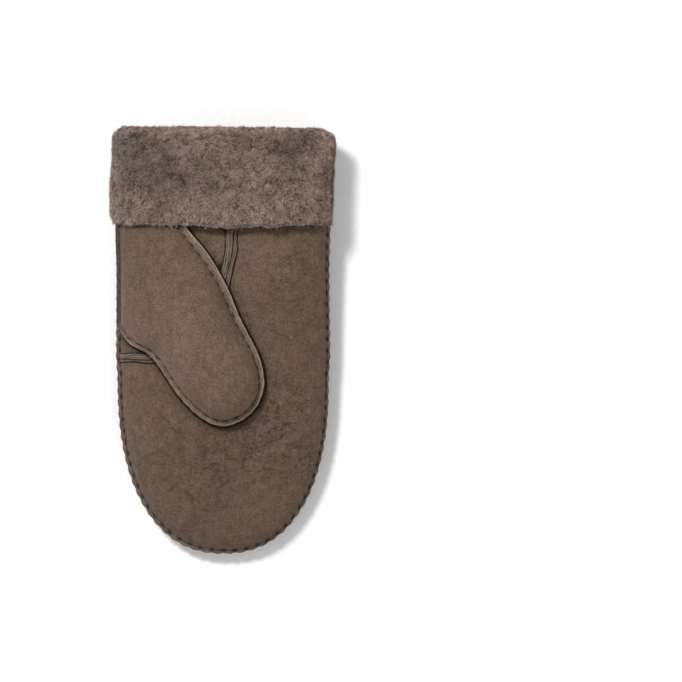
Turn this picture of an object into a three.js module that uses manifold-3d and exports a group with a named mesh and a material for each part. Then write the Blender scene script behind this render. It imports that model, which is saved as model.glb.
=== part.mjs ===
// A right-hand sheepskin mitten, lying on its back with the thumb folded over the palm.
// The hide is worn leather side out and wool side in, the raw edges of every seam stand
// outwards, and the wrist is turned back into a cuff that shows its wool.
// Millimetres, +Z up, +Y towards the wrist, +X to the little-finger side. The origin is on the
// floor, below the middle of the outline.
import * as THREE from 'three';
import { mergeVertices } from 'three/addons/utils/BufferGeometryUtils.js';
import Module from 'manifold-3d';

const wasm = await Module();
wasm.setup();

// Driving dimensions
const LENGTH = 250; // fold of the cuff to the seam at the fingertips
const CUFF_DEPTH = 59.5; // how far the cuff is turned back
const HIDE = 4; // the hide with its wool pressed down
const UNDER_HIDE = 3.5; // the same below the thumb, where the palm presses on it
const SKIN = 1.25; // the leather alone, at a raw edge
const LIP = 3; // how far a raw edge stands out beyond its stitches
const GAP = 0.3; // air between two pieces that touch
const RIDGE = 1.8; // how far the palm seam's raw edges stand up
const RIDGE_WIDE = 4.2; // the edge of the gusset, spread flat
const RIDGE_NARROW = 2; // the edge of the palm beside it
const THUMB_CLEAR = 2.6; // air between the palm and the thumb that lies on it
const THUMB_REST = 3.6; // the most of it, near the thumb's edge
const THUMB_LIFT = 5.4; // top of the thumb's raw edge above the palm

// Places worked out from them
const FOLD_Y = LENGTH / 2;
const CUFF_EDGE_Y = FOLD_Y - CUFF_DEPTH;
const PANEL_TOP_Y = FOLD_Y - 12; // the panels end inside the fold
const TIP_Y = -LENGTH / 2;
const END_Y = -25; // the fingertips start to round off here
const END_LENGTH = END_Y - TIP_Y;
const END_POWER = 2.3; // the fingertip outline is this superellipse
const FAR = 90; // beyond the mitten on any side
const BEYOND_FOLD = 125; // where the lines that cut the palm start, past the panels' ends

// The hand part, a row for each station: half its width to the raw edge, and the heights of
// the underside, of the side seam and of the top of the palm.
const sections = [
  { y: PANEL_TOP_Y, half: 57.5, low: 10, seam: 24, high: 36.5 },
  { y: 84, half: 59, low: 9.7, seam: 23.6, high: 37 },
  { y: 64, half: 62.3, low: 9.2, seam: 23, high: 37.6 },
  { y: 40, half: 61.8, low: 5.6, seam: 21.5, high: 38 },
  { y: 12, half: 62, low: 1, seam: 19.2, high: 38 },
  { y: -8, half: 62.2, low: 0, seam: 18, high: 37.6 },
  { y: END_Y, half: 61.4, low: 0, seam: 17, high: 37 },
  { y: TIP_Y, half: 61.4, low: 0, seam: 11.5, high: 31 },
];

// The cuff, a row for each ring of its outer face: its two sides, its underside and its top.
const cuffRings = [
  { y: CUFF_EDGE_Y, left: -65.2, right: 63.6, low: 0.6, high: 50.6 },
  { y: 70, left: -66, right: 64.2, low: 0, high: 51.6 },
  { y: 88, left: -66, right: 64.6, low: 0, high: 51 },
  { y: 104, left: -64.8, right: 65.6, low: 0, high: 49.4 },
  { y: 114, left: -64.6, right: 66, low: 0, high: 48 },
  { y: 119, left: -64, right: 64.4, low: 0.3, high: 46.6 },
  { y: FOLD_Y, left: -61, right: 58, low: 2, high: 44 },
];
const CUFF_LEAN = 1.4; // the fold is this much lower on the right than on the left
const CUFF_WAVE = 1.2; // and the edge on the palm sways up and down by this
const TUFT = 0.8; // how far the wool swells and sinks between its locks

// The cuff's wall, walked once round: where each point lies along the hand, and on which
// layer: 0 the mouth's inner face, 1 the face against the panels, 2 the outer wool.
const cuffWall = [
  { y: CUFF_EDGE_Y + 1.6, layer: 1 },
  { y: CUFF_EDGE_Y, layer: 1.35 },
  { y: CUFF_EDGE_Y + 0.4, layer: 1.75 },
  { y: CUFF_EDGE_Y + 3.5, layer: 2 },
  { y: 78, layer: 2 },
  { y: 92, layer: 2 },
  { y: 106, layer: 2 },
  { y: 114, layer: 2 },
  { y: 119, layer: 1.88 },
  { y: 122.6, layer: 1.6 },
  { y: 124.5, layer: 1.25 },
  { y: FOLD_Y, layer: 0.9 },
  { y: 123.4, layer: 0.4 },
  { y: 119, layer: 0.06 },
  { y: PANEL_TOP_Y + GAP, layer: 0 },
  { y: PANEL_TOP_Y + GAP, layer: 1 },
  { y: 98, layer: 1 },
  { y: 84, layer: 1 },
];

// The palm seam: down from the wrist, round the root of the thumb and out to the side seam.
const palmSeam = [
  { x: 8.6, y: BEYOND_FOLD },
  { x: 7.3, y: 64 },
  { x: 5, y: 49 },
  { x: 3.2, y: 34 },
  { x: 1.8, y: 17 },
  { x: -3, y: 1 },
  { x: -14, y: -7.5 },
  { x: -28, y: -11 },
  { x: -42, y: -12 },
  { x: -61, y: -11.3 },
  { x: -FAR, y: -10 },
];

// The fold at the root of the thumb, where the gusset turns from the palm into the thumb.
const thumbFold = [
  { x: -36.4, y: BEYOND_FOLD },
  { x: -28.6, y: 81 },
  { x: -20, y: 65 },
  { x: -12, y: 50 },
  { x: -8.4, y: 34 },
  { x: -10.5, y: 17 },
  { x: -19, y: 5 },
  { x: -34, y: -1 },
  { x: -51, y: 1 },
  { x: -63, y: 8 },
  { x: -FAR, y: 12 },
];

// The thumb's outline to its raw edge, a row for each station from the wrist to the tip. Its
// left side leaves the side seam at the root's last row, and above that it is the side seam.
const thumbRoot = [
  { rightX: -36.4, rightY: PANEL_TOP_Y },
  { rightX: -29.4, rightY: 81 },
  { rightX: -20.7, rightY: 65 },
  { rightX: -9, rightY: 50.5 },
  { rightX: -3, rightY: 41.5 },
];
const thumbMiddlePart = [
  { leftX: -62, leftY: 7.4, rightX: -3, rightY: 41.5 },
  { leftX: -53.8, leftY: -2.5, rightX: 3.6, rightY: 29 },
  { leftX: -43.9, leftY: -8, rightX: 10.2, rightY: 13.8 },
  { leftX: -39, leftY: -12.6, rightX: 16, rightY: 2.8 },
  { leftX: -32.9, leftY: -21.7, rightX: 21.8, rightY: -8.3 },
  { leftX: -28.4, leftY: -28.6, rightX: 24.3, rightY: -16 },
];
const thumbEnd = [
  { leftX: -28.4, leftY: -28.6, rightX: 24.3, rightY: -16 },
  { leftX: -25.3, leftY: -33.3, rightX: 25.3, rightY: -26 },
  { leftX: -17.2, leftY: -42.6, rightX: 23, rightY: -35 },
  { leftX: -9, leftY: -48.4, rightX: 18.7, rightY: -42 },
  { leftX: -2.6, leftY: -50.8, rightX: 11.9, rightY: -47.6 },
  { leftX: 3.2, leftY: -51.1, rightX: 3.2, rightY: -51.1 },
];
const ROOT_STEPS = 9;
const MIDDLE_STEPS = 7;
const END_STEPS = 9;

// The thumb along its length: how far its raw edges are lifted off the palm on each side, as a
// share of THUMB_LIFT, and how high it is padded out.
const thumbRows = [
  { at: 0, left: 0, right: 0, plump: 0 },
  { at: 3, left: 0, right: 0, plump: 0 },
  { at: 5, left: 0, right: 0.85, plump: 2.5 },
  { at: 9, left: 0, right: 1, plump: 9.5 },
  { at: 12, left: 1, right: 1, plump: 14 },
  { at: 16, left: 1, right: 1, plump: 15.5 },
  { at: 25, left: 1.15, right: 1.15, plump: 15 },
];

// Columns across a panel, from its middle line to its raw edge: the share of the way to the
// stitches, then distances past them on the outer and on the inner face.
const columns = [
  { share: 0, outer: 0, inner: 0 },
  { share: 0.28, outer: 0, inner: 0 },
  { share: 0.5, outer: 0, inner: 0 },
  { share: 0.68, outer: 0, inner: 0 },
  { share: 0.82, outer: 0, inner: 0 },
  { share: 0.92, outer: 0, inner: 0 },
  { share: 0.98, outer: 0, inner: 0 },
  { share: 1, outer: 0, inner: 0 },
  { share: 1, outer: LIP / 2, inner: HIDE },
  { share: 1, outer: LIP, inner: HIDE + LIP },
];
const acrossColumns = [
  ...columns.slice(1).reverse().map((column) => ({ ...column, side: -1 })),
  ...columns.map((column) => ({ ...column, side: 1 })),
];

// How steeply a column of a table runs at one of its rows, without overshooting the next
function slope(rows, key, name, row) {
  if (row === 0 || row === rows.length - 1) return 0;
  const [before, here, after] = rows.slice(row - 1, row + 2);
  const rise = (here[name] - before[name]) / (here[key] - before[key]);
  const next = (after[name] - here[name]) / (after[key] - here[key]);
  return rise * next > 0 ? (2 * rise * next) / (rise + next) : 0;
}

// Reads a table at any place along `key`, on smooth curves through its rows
function read(table, key, place) {
  const rising = table[0][key] < table.at(-1)[key];
  const rows = rising ? table : [...table].reverse();
  const next = rows.findIndex((row) => row[key] >= place);
  if (next === 0) return rows[0];
  if (next === -1) return rows.at(-1);
  const [a, b] = [rows[next - 1], rows[next]];
  const span = b[key] - a[key];
  const t = (place - a[key]) / span;
  const ease = t * t * (3 - 2 * t);
  const mixed = {};
  for (const name of Object.keys(a)) {
    const leaving = slope(rows, key, name, next - 1) * t * (1 - t) * (1 - t);
    const arriving = slope(rows, key, name, next) * t * t * (t - 1);
    mixed[name] = a[name] + (b[name] - a[name]) * ease + (leaving + arriving) * span;
  }
  return mixed;
}

const section = (y) => read(sections, 'y', y);
const mix = THREE.MathUtils.lerp;

// How far a panel rises from its stitches at 1 to its middle at 0. The back is pressed flat by
// what it lies on.
const PALM_POWER = 2.6;
const BACK_POWER = 3.2;
const BACK_FLAT = 1.12;
const bulge = (share, power) => Math.sqrt(Math.max(0, 1 - share ** power));
const palmBulge = (share) => bulge(share, PALM_POWER);
const backBulge = (share) => Math.min(1, BACK_FLAT * bulge(share, BACK_POWER));

// How far out a point lies: 0 on the middle line, 1 on the outline drawn in by `inset`.
function spread(x, y, inset) {
  const across = Math.abs(x) / (section(y).half - inset);
  if (y >= END_Y) return Math.min(1, across);
  const along = (END_Y - y) / (END_LENGTH - inset);
  return Math.min(1, (across ** END_POWER + along ** END_POWER) ** (1 / END_POWER));
}

// Heights of the hide's faces over any point of the outline.
function palmOuter(x, y) {
  const { seam, high } = section(y);
  const edge = seam + SKIN;
  return mix(edge, high, palmBulge(spread(x, y, LIP)));
}

function palmInner(x, y) {
  const { seam, high } = section(y);
  return mix(seam + GAP / 2, high - HIDE, palmBulge(spread(x, y, LIP + HIDE)));
}

function backOuter(x, y) {
  const { seam, low } = section(y);
  return mix(seam - SKIN, low, backBulge(spread(x, y, LIP)));
}

function backInner(x, y) {
  const { seam, low } = section(y);
  return mix(seam - GAP / 2, low + HIDE, backBulge(spread(x, y, LIP + HIDE)));
}

// A closed body between two faces. Each row holds { top, bottom } points from side to side.
// A last row that is folded on itself, as at a fingertip, closes without a cap.
function sheet(rows, folded) {
  const across = rows[0].length;
  const positions = rows.flatMap((row) => row.flatMap(({ top, bottom }) => [...top, ...bottom]));
  const indices = [];
  const top = (row, column) => 2 * (row * across + column);
  const bottom = (row, column) => top(row, column) + 1;
  const quad = (a, b, c, d) => indices.push(a, b, c, a, c, d);
  for (let r = 0; r < rows.length - 1; r += 1) {
    for (let c = 0; c < across - 1; c += 1) {
      quad(top(r, c), top(r + 1, c), top(r + 1, c + 1), top(r, c + 1));
      quad(bottom(r, c), bottom(r, c + 1), bottom(r + 1, c + 1), bottom(r + 1, c));
    }
    const last = across - 1;
    quad(top(r, 0), bottom(r, 0), bottom(r + 1, 0), top(r + 1, 0));
    quad(top(r, last), top(r + 1, last), bottom(r + 1, last), bottom(r, last));
  }
  const ends = folded ? [0] : [0, rows.length - 1];
  for (const r of ends) {
    for (let c = 0; c < across - 1; c += 1) {
      const face = [top(r, c), top(r, c + 1), bottom(r, c + 1), bottom(r, c)];
      if (r > 0) face.reverse();
      quad(...face);
    }
  }
  return closed(positions, indices);
}

// Merges shared corners, drops what has collapsed, and hands the body to the boolean library.
function closed(positions, indices) {
  const raw = new THREE.BufferGeometry();
  raw.setAttribute('position', new THREE.Float32BufferAttribute(positions, 3));
  raw.setIndex(indices);
  return solid(raw);
}

function solid(geometry) {
  geometry.deleteAttribute('normal');
  geometry.deleteAttribute('uv');
  const merged = mergeVertices(geometry, 1e-3);
  const corners = merged.index.array;
  const kept = [];
  for (let i = 0; i < corners.length; i += 3) {
    const [a, b, c] = corners.slice(i, i + 3);
    if (a !== b && b !== c && a !== c) kept.push(a, b, c);
  }
  return new wasm.Manifold(new wasm.Mesh({
    numProp: 3,
    vertProperties: new Float32Array(merged.attributes.position.array),
    triVerts: new Uint32Array(kept),
  }));
}

// An upright prism over a flat outline.
function prism(points) {
  const shape = new THREE.Shape(points.map(({ x, y }) => new THREE.Vector2(x, y)));
  const extruded = new THREE.ExtrudeGeometry(shape, { depth: 2 * FAR, bevelEnabled: false });
  return solid(extruded.translate(0, 0, -FAR));
}

// A smooth line through a table of points, as THREE.Vector2.
function line(points, steps) {
  const corners = points.map(({ x, y }) => new THREE.Vector3(x, y, 0));
  const path = new THREE.CatmullRomCurve3(corners, false, 'centripetal');
  return path.getSpacedPoints(steps).map(({ x, y }) => new THREE.Vector2(x, y));
}

// The line moved sideways: to its left, seen from above, for a positive distance.
function moved(points, distance) {
  return points.map((point, i) => {
    const before = points[Math.max(0, i - 1)];
    const after = points[Math.min(points.length - 1, i + 1)];
    const way = after.clone().sub(before).normalize();
    return new THREE.Vector2(point.x - way.y * distance, point.y + way.x * distance);
  });
}

// Rows across the hand from the wrist to the fingertips, as points on the outline's plane.
const handRows = [];
const STRAIGHT_ROWS = 15;
const END_ROWS = 12;
for (let i = 0; i <= STRAIGHT_ROWS; i += 1) {
  handRows.push({ y: mix(PANEL_TOP_Y, END_Y, i / STRAIGHT_ROWS), turn: 0 });
}
for (let i = 1; i <= END_ROWS; i += 1) {
  handRows.push({ y: END_Y, turn: (i / END_ROWS) * (Math.PI / 2) });
}

// The point that lies `reach` of each half extent out, in the direction a row has turned to.
function handPoint(row, side, share, past, inset) {
  const { half } = section(row.y);
  const across = share * (half - LIP - inset) + past;
  const along = share * (END_LENGTH - LIP - inset) + past;
  return {
    x: side * across * Math.abs(Math.cos(row.turn)) ** (2 / END_POWER),
    y: row.y - along * Math.sin(row.turn) ** (2 / END_POWER),
  };
}

// A sheet over the whole hand, between two height functions. A face inside the mitten is drawn
// in by the hide, so that the sides are as thick as the middle.
function handSheet(topHeight, bottomHeight, topInside, bottomInside) {
  const rows = handRows.map((row) => acrossColumns.map(({ side, share, outer, inner }) => {
    const out = handPoint(row, side, share, outer, 0);
    const into = handPoint(row, side, share, inner, HIDE);
    const above = topInside ? into : out;
    const below = bottomInside ? into : out;
    return {
      top: [above.x, above.y, topHeight(above.x, above.y)],
      bottom: [below.x, below.y, bottomHeight(below.x, below.y)],
    };
  }));
  return sheet(rows, true);
}

// Both sides of the thumb, row by row, with the middle line that its padding rises to.
const leftSide = (table) => table.map(({ leftX, leftY }) => ({ x: leftX, y: leftY }));
const rightSide = (table) => table.map(({ rightX, rightY }) => ({ x: rightX, y: rightY }));
const leftEdge = [];
for (let i = 0; i <= ROOT_STEPS; i += 1) {
  const y = mix(PANEL_TOP_Y, thumbMiddlePart[0].leftY, i / ROOT_STEPS);
  leftEdge.push(new THREE.Vector2(-section(y).half, y));
}
const rightEdge = line(rightSide(thumbRoot), ROOT_STEPS);
for (const [table, steps] of [[thumbMiddlePart, MIDDLE_STEPS], [thumbEnd, END_STEPS]]) {
  leftEdge.push(...line(leftSide(table), steps).slice(1));
  rightEdge.push(...line(rightSide(table), steps).slice(1));
}
const thumbMiddle = leftEdge.map((left, i) => {
  const at = Math.min(i, ROOT_STEPS + MIDDLE_STEPS);
  return leftEdge[at].clone().add(rightEdge[at]).multiplyScalar(0.5);
});

// A sheet over the thumb. `heights` gives its faces from where a point lies: on the palm, how
// far its raw edge is lifted there, how plump the row is, and its share of the padding.
function thumbSheet(heights, grow = 0) {
  const topInside = heights.belowThumb;
  const rows = leftEdge.map((left, i) => {
    const row = read(thumbRows, 'at', i);
    return acrossColumns.map(({ side, share, outer, inner }) => {
      const end = side < 0 ? left : rightEdge[i];
      const way = end.clone().sub(thumbMiddle[i]);
      const half = way.length();
      way.normalize();
      const past = outer === LIP ? grow : 0;
      const reach = share * (half - LIP) + outer + past;
      const drawnIn = share * (half - LIP - HIDE) + inner + past;
      const out = thumbMiddle[i].clone().addScaledVector(way, reach);
      const into = thumbMiddle[i].clone().addScaledVector(way, drawnIn);
      const across = side * share;
      const lifted = mix(row.left, row.right, (across + 1) / 2);
      const place = { lifted, plump: row.plump, bulge: palmBulge(share) };
      const [above, below] = topInside ? [into, out] : [out, into];
      return {
        top: [above.x, above.y, heights.top(above, place)],
        bottom: [below.x, below.y, heights.bottom(below, place)],
      };
    });
  });
  return sheet(rows, true);
}

// Colours and finishes
const leather = { roughness: 0.9, metalness: 0 };
const suede = new THREE.MeshStandardMaterial({ color: 0x6c5b4e, ...leather });
const suedeShaded = new THREE.MeshStandardMaterial({ color: 0x5f4f43, ...leather });
const wool = new THREE.MeshStandardMaterial({ color: 0x75675e, roughness: 1, metalness: 0 });

// Lines that the palm is cut along, and the areas on either side of them
const CUT_STEPS = 48;
const seamLine = line(palmSeam, CUT_STEPS);
const foldLine = line(thumbFold, CUT_STEPS);
const wristCorner = { x: -FAR, y: BEYOND_FOLD };
const thumbSide = (distance) => prism([...moved(seamLine, -distance), wristCorner]);
const rootArea = prism([...foldLine, wristCorner]);
const thumbArea = prism([...leftEdge, ...[...rightEdge].reverse().slice(1)]);

// The whole palm side before it is cut, and a thin layer on it that the seam's ridge fills
const RIDGE_END_Y = 84; // the cuff presses the ridge flat above this
const palmHide = handSheet(palmOuter, palmInner, false, true);
const ridgeFade = (y) => 1 - THREE.MathUtils.smoothstep(y, CUFF_EDGE_Y, RIDGE_END_Y);
const ridgeLayer = handSheet(
  (x, y) => palmOuter(x, y) + RIDGE * ridgeFade(y),
  (x, y) => palmOuter(x, y) - SKIN / 2,
  false,
  false,
);
const stitchesX = section(0).half - LIP - SKIN;
const insideStitches = prism([
  { x: -stitchesX, y: FAR },
  { x: -stitchesX, y: -FAR },
  { x: FAR, y: -FAR },
  { x: FAR, y: FAR },
]);

// The strip of ridge between two distances from the palm seam
function ridge(from, to) {
  const strip = prism([...moved(seamLine, from), ...moved(seamLine, to).reverse()]);
  return ridgeLayer.intersect(strip).intersect(insideStitches);
}

// Each piece in its turn
function backPanel() {
  return handSheet(backInner, backOuter, true, false);
}

function palmPanel() {
  const edge = ridge(GAP / 2, GAP / 2 + RIDGE_NARROW);
  return palmHide.subtract(thumbSide(-GAP / 2)).add(edge);
}

// The thumb's outer half: the height of its faces over a point of it.
function thumbTop({ x, y }, { lifted, plump, bulge }) {
  return palmOuter(x, y) + lifted * THUMB_LIFT + plump * bulge;
}

function thumbUnder({ x, y }, { lifted, plump, bulge }) {
  const edge = Math.min(1, lifted) * (1 - bulge);
  const face = mix(palmInner(x, y), palmOuter(x, y) - SKIN, edge);
  return face + lifted * THUMB_LIFT + plump * bulge;
}

function thumbPanel() {
  return thumbSheet({ top: thumbTop, bottom: thumbUnder });
}

// All that lies above the underside of the outer half, with the gap to it
function aboveThumb() {
  const bottom = (point, place) => thumbUnder(point, place) - GAP;
  return thumbSheet({ top: () => FAR, bottom }, GAP);
}

function thumbGusset() {
  const palmPart = palmHide.intersect(thumbSide(GAP / 2)).subtract(rootArea);
  const edgeRidge = ridge(-GAP / 2 - RIDGE_WIDE, -GAP / 2).subtract(rootArea);
  const underThumb = thumbSheet({
    top: ({ x, y }, { lifted, bulge }) => {
      const edge = lifted * THUMB_LIFT - SKIN - GAP;
      return palmOuter(x, y) + mix(edge, THUMB_CLEAR + UNDER_HIDE, bulge);
    },
    bottom: ({ x, y }, { lifted, bulge }) => {
      const edge = lifted * THUMB_LIFT - 2 * SKIN - GAP;
      const rise = mix(edge, THUMB_CLEAR, bulge);
      return Math.max(palmOuter(x, y) + Math.min(rise, THUMB_REST), palmInner(x, y));
    },
    belowThumb: true,
  }).subtract(rootArea);
  const foldBody = handSheet(
    (x, y) => palmOuter(x, y) + THUMB_CLEAR + UNDER_HIDE,
    palmInner,
    false,
    false,
  );
  const foldStrip = prism([...foldLine, ...moved(foldLine, HIDE).reverse()]);
  const fold = foldBody.intersect(foldStrip).intersect(thumbArea).intersect(thumbSide(GAP / 2));
  return largest(palmPart.add(edgeRidge).add(fold).add(underThumb).subtract(aboveThumb()));
}

// The cuff: a ring whose wall is folded over the top of the panels
const RING_STEPS = 64;
const RING_POWER = 2.6; // its section is this superellipse, cut off by the floor
const RING_SAG = 1.1; // and its lower half is this much deeper before the cut
const CUFF_CLEAR = 0.5; // air between the cuff and the panels in it
const EDGE_CLEAR = 0.7; // and more at its edge, which hangs free
const OVER_THUMB = { height: 5.2, centre: -27, reach: 38 };
const OVER_SEAM = { height: RIDGE, centre: 8, reach: 16 };
const EASED_Y = 92; // the edge's lift and sway have died out up here

// A hump over a place, down to 0 at its reach
function hump(x, { height, centre, reach }) {
  const away = Math.min(1, Math.abs(x - centre) / reach);
  return height * (1 - away * away) ** 2;
}

// How far the cuff's edge is held off the palm, by the thumb and by the ridge of the seam
const heldOff = (x) => EDGE_CLEAR + hump(x, OVER_THUMB) + hump(x, OVER_SEAM);

// The wool's locks, as a swell at a place round the cuff and along it
const LOCKS_ROUND = 13;
const LOCKS_WAVELENGTH = 26;
function tuft(angle, y) {
  const along = (2 * Math.PI * y) / LOCKS_WAVELENGTH;
  return TUFT * Math.sin(LOCKS_ROUND * angle + 2 * Math.sin(along / 2)) * Math.sin(along + angle);
}

function ringPoint(angle, { left, right, low, high, lifted = 0, swell = 0 }, middle) {
  const [c, s] = [Math.cos(angle), Math.sin(angle)];
  const power = 2 / RING_POWER;
  const rise = Math.sign(s) * Math.abs(s) ** power;
  const across = Math.sign(c) * Math.abs(c) ** power;
  const x = (left + right + across * (right - left)) / 2;
  const top = high + lifted * heldOff(x) + swell;
  const reach = s > 0 ? top - middle : RING_SAG * (middle - low);
  return { x, z: Math.max(low, middle + rise * reach) };
}

function cuffLayers(angle, y) {
  const { half, low, high } = section(Math.min(y, PANEL_TOP_Y));
  const inner = half - LIP - HIDE;
  const outside = half + CUFF_CLEAR;
  const mouth = { left: -inner, right: inner, low: low + HIDE, high: high - HIDE };
  const onPanels = {
    left: -outside,
    right: outside,
    low: low - CUFF_CLEAR,
    high: high + CUFF_CLEAR,
    lifted: 1 - THREE.MathUtils.smoothstep(y, CUFF_EDGE_Y, EASED_Y),
  };
  const wool = { ...read(cuffRings, 'y', y), swell: tuft(angle, y) };
  return [mouth, onPanels, wool];
}

// Where a point of the cuff lies along the hand: its fold leans and its edge sways.
function cuffPlace(x, y) {
  const lean = (CUFF_LEAN * (x - cuffRings[0].left)) / (2 * cuffRings[0].right);
  const sway = CUFF_WAVE * Math.cos((Math.PI * x) / cuffRings[0].right);
  return y - lean * THREE.MathUtils.smoothstep(y, PANEL_TOP_Y + GAP, FOLD_Y)
    - sway * (1 - THREE.MathUtils.smoothstep(y, CUFF_EDGE_Y, EASED_Y));
}

function cuff() {
  const rows = [];
  for (let i = 0; i < RING_STEPS; i += 1) {
    const angle = (i / RING_STEPS) * 2 * Math.PI;
    rows.push(cuffWall.map(({ y, layer }) => {
      const layers = cuffLayers(angle, y);
      const middle = section(Math.min(y, PANEL_TOP_Y)).seam;
      const below = Math.min(Math.floor(layer), 1);
      const near = ringPoint(angle, layers[below], middle);
      const far = ringPoint(angle, layers[below + 1], middle);
      const x = mix(near.x, far.x, layer - below);
      return [x, cuffPlace(x, y), mix(near.z, far.z, layer - below)];
    }));
  }
  const indices = [];
  const around = cuffWall.length;
  const corner = (row, column) => (row % RING_STEPS) * around + (column % around);
  for (let r = 0; r < RING_STEPS; r += 1) {
    for (let c = 0; c < around; c += 1) {
      const [a, b] = [corner(r, c), corner(r + 1, c)];
      const [d, e] = [corner(r + 1, c + 1), corner(r, c + 1)];
      indices.push(a, d, b, a, e, d);
    }
  }
  return closed(rows.flat(2), indices);
}

// The body without the slivers that a cut can leave beside it
function largest(body) {
  return body.decompose().sort((a, b) => b.volume() - a.volume())[0];
}

function piece(name, body, material) {
  const { numProp, vertProperties, triVerts } = body.simplify(0.02).getMesh();
  const geometry = new THREE.BufferGeometry();
  const buffer = new THREE.InterleavedBuffer(vertProperties, numProp);
  geometry.setAttribute('position', new THREE.InterleavedBufferAttribute(buffer, 3, 0));
  geometry.setIndex(new THREE.BufferAttribute(triVerts, 1));
  const mesh = new THREE.Mesh(geometry, material);
  mesh.name = name;
  return mesh;
}

const mitten = new THREE.Group();
mitten.name = 'mitten';
mitten.add(
  piece('back_panel', backPanel(), suede),
  piece('palm_panel', palmPanel(), suede),
  piece('thumb_gusset', thumbGusset(), suedeShaded),
  piece('thumb_panel', thumbPanel(), suede),
  piece('cuff', cuff(), wool),
);

export default mitten;
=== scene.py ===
# %% [markdown]
# Sheepskin mitten.
# The real object is a right-hand mitten sewn from sheepskin, worn with the leather outside and
# the wool inside. It lies on its back with the thumb folded over the palm, and the wrist is
# turned back into a cuff that shows the wool.
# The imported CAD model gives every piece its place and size. This script makes a finer piece
# for each of them from the same named sizes, and adds the seams, the stitches and the wool.

import math

import bmesh
import bpy
import numpy as np
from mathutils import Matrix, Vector


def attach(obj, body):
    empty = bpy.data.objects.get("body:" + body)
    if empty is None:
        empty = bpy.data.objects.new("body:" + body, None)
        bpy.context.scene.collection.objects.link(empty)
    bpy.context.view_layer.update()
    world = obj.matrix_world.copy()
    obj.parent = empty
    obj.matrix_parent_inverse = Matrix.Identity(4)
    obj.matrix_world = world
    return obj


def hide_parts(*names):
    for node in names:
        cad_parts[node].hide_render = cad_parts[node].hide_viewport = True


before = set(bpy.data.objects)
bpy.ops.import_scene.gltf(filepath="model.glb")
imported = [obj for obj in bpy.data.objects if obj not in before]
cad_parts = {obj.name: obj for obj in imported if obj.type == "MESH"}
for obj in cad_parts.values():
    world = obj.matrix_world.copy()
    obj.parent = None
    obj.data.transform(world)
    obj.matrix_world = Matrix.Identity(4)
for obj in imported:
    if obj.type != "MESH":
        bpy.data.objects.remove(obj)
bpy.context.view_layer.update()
print("packed nodes:", len(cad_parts))

# %% [markdown]
# Sizes.
# Everything is worked out in millimetres and turned to metres when a mesh is made. The names
# are those that a glove maker would use: the lip is the raw edge that stands out beyond its
# stitches, and the fold is where the wrist turns back into the cuff.

# %% Sizes in millimetres
MM = 0.001
LENGTH = 250  # fold of the cuff to the seam at the fingertips
CUFF_DEPTH = 59.5
HIDE = 4  # the hide with its wool pressed down
UNDER_HIDE = 3.5  # the same below the thumb
SKIN = 1.25  # the leather alone, at a raw edge
LIP = 3  # the cuff is made to clear a lip this wide
LEFT_LIP = 2.6  # how wide the lip looks on the thumb's side
RIGHT_LIP = 1.9  # and on the other side
GAP = 0.3  # air between two pieces that touch
RIDGE = 1.8  # how far the palm seam's raw edges stand up
RIDGE_WIDE = 4.2  # width of the raw edge on the thumb's side of that seam
RIDGE_NARROW = 2  # and on the other side
THUMB_CLEAR = 2.6  # the thumb's underside lies this far above the palm in its middle
THUMB_REST = 3.6  # and nowhere further than this
THUMB_LIFT = 5.4  # how high the thumb's raw edges stand above the palm
STITCH_PITCH = 6.7
STITCH_LINE = 0.6  # how far out on the lip the stitches run

FOLD_Y = LENGTH / 2
CUFF_EDGE_Y = FOLD_Y - CUFF_DEPTH
PANEL_TOP_Y = FOLD_Y - 12
TIP_Y = -LENGTH / 2
END_Y = -25  # the fingertips start to round off here
END_LENGTH = END_Y - TIP_Y
END_POWER = 2.3  # their outline is this superellipse
FAR = 90  # beyond every side of the hand
BEYOND_FOLD = 125  # beyond the top of the panels

# y, half the width to the raw edge, underside, side seam, top of the palm
SECTIONS = [
    (TIP_Y, 61.4, 0, 11.5, 31),
    (END_Y, 61.4, 0, 17, 37),
    (-8, 62.2, 0, 18, 37.6),
    (12, 62, 1, 19.2, 38),
    (40, 61.8, 5.6, 21.5, 38),
    (64, 62.3, 9.2, 23, 37.6),
    (84, 59, 9.7, 23.6, 37),
    (PANEL_TOP_Y, 57.5, 10, 24, 36.5),
]


# %% [markdown]
# Smooth curves through tables.
# A table with a few rows is easy to read and to change, but a hide has no corners at the rows.
# So each table is read along curves that pass through its rows and never overshoot them. The
# outlines of the thumb and of the seam are read along a Catmull-Rom curve instead, because
# they turn back on themselves.


# %% Reading tables
CURVE_STEPS = 60  # points on a curve from one given point to the next


def read(table, place):
    """Every column of the table but the first, at each place along the first."""
    rows = np.array(table, float)
    key = rows[:, 0]
    values = rows[:, 1:]
    rise = np.diff(values, axis=0) / np.diff(key)[:, None]
    product = rise[:-1] * rise[1:]
    total = np.where(product > 0, rise[:-1] + rise[1:], 1)
    slope = np.zeros_like(values)
    slope[1:-1] = np.where(product > 0, 2 * product / total, 0)
    place = np.clip(np.asarray(place, float), key[0], key[-1])
    at = np.clip(np.searchsorted(key, place) - 1, 0, len(key) - 2)
    span = (key[at + 1] - key[at])[..., None]
    t = ((place - key[at])[..., None]) / span
    ease = t * t * (3 - 2 * t)
    leaving = slope[at] * t * (1 - t) ** 2
    arriving = slope[at + 1] * t * t * (t - 1)
    mixed = values[at] + (values[at + 1] - values[at]) * ease + (leaving + arriving) * span
    return np.moveaxis(mixed, -1, 0)


def distance_along(points):
    """How far each point of a line is from its first one, along the line."""
    steps = np.linalg.norm(np.diff(points, axis=0), axis=1)
    return np.concatenate([[0], np.cumsum(steps)])


def resampled(points, distance, at):
    """The line's points at those distances along it."""
    return np.stack([np.interp(at, distance, column) for column in points.T], axis=-1)


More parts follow.
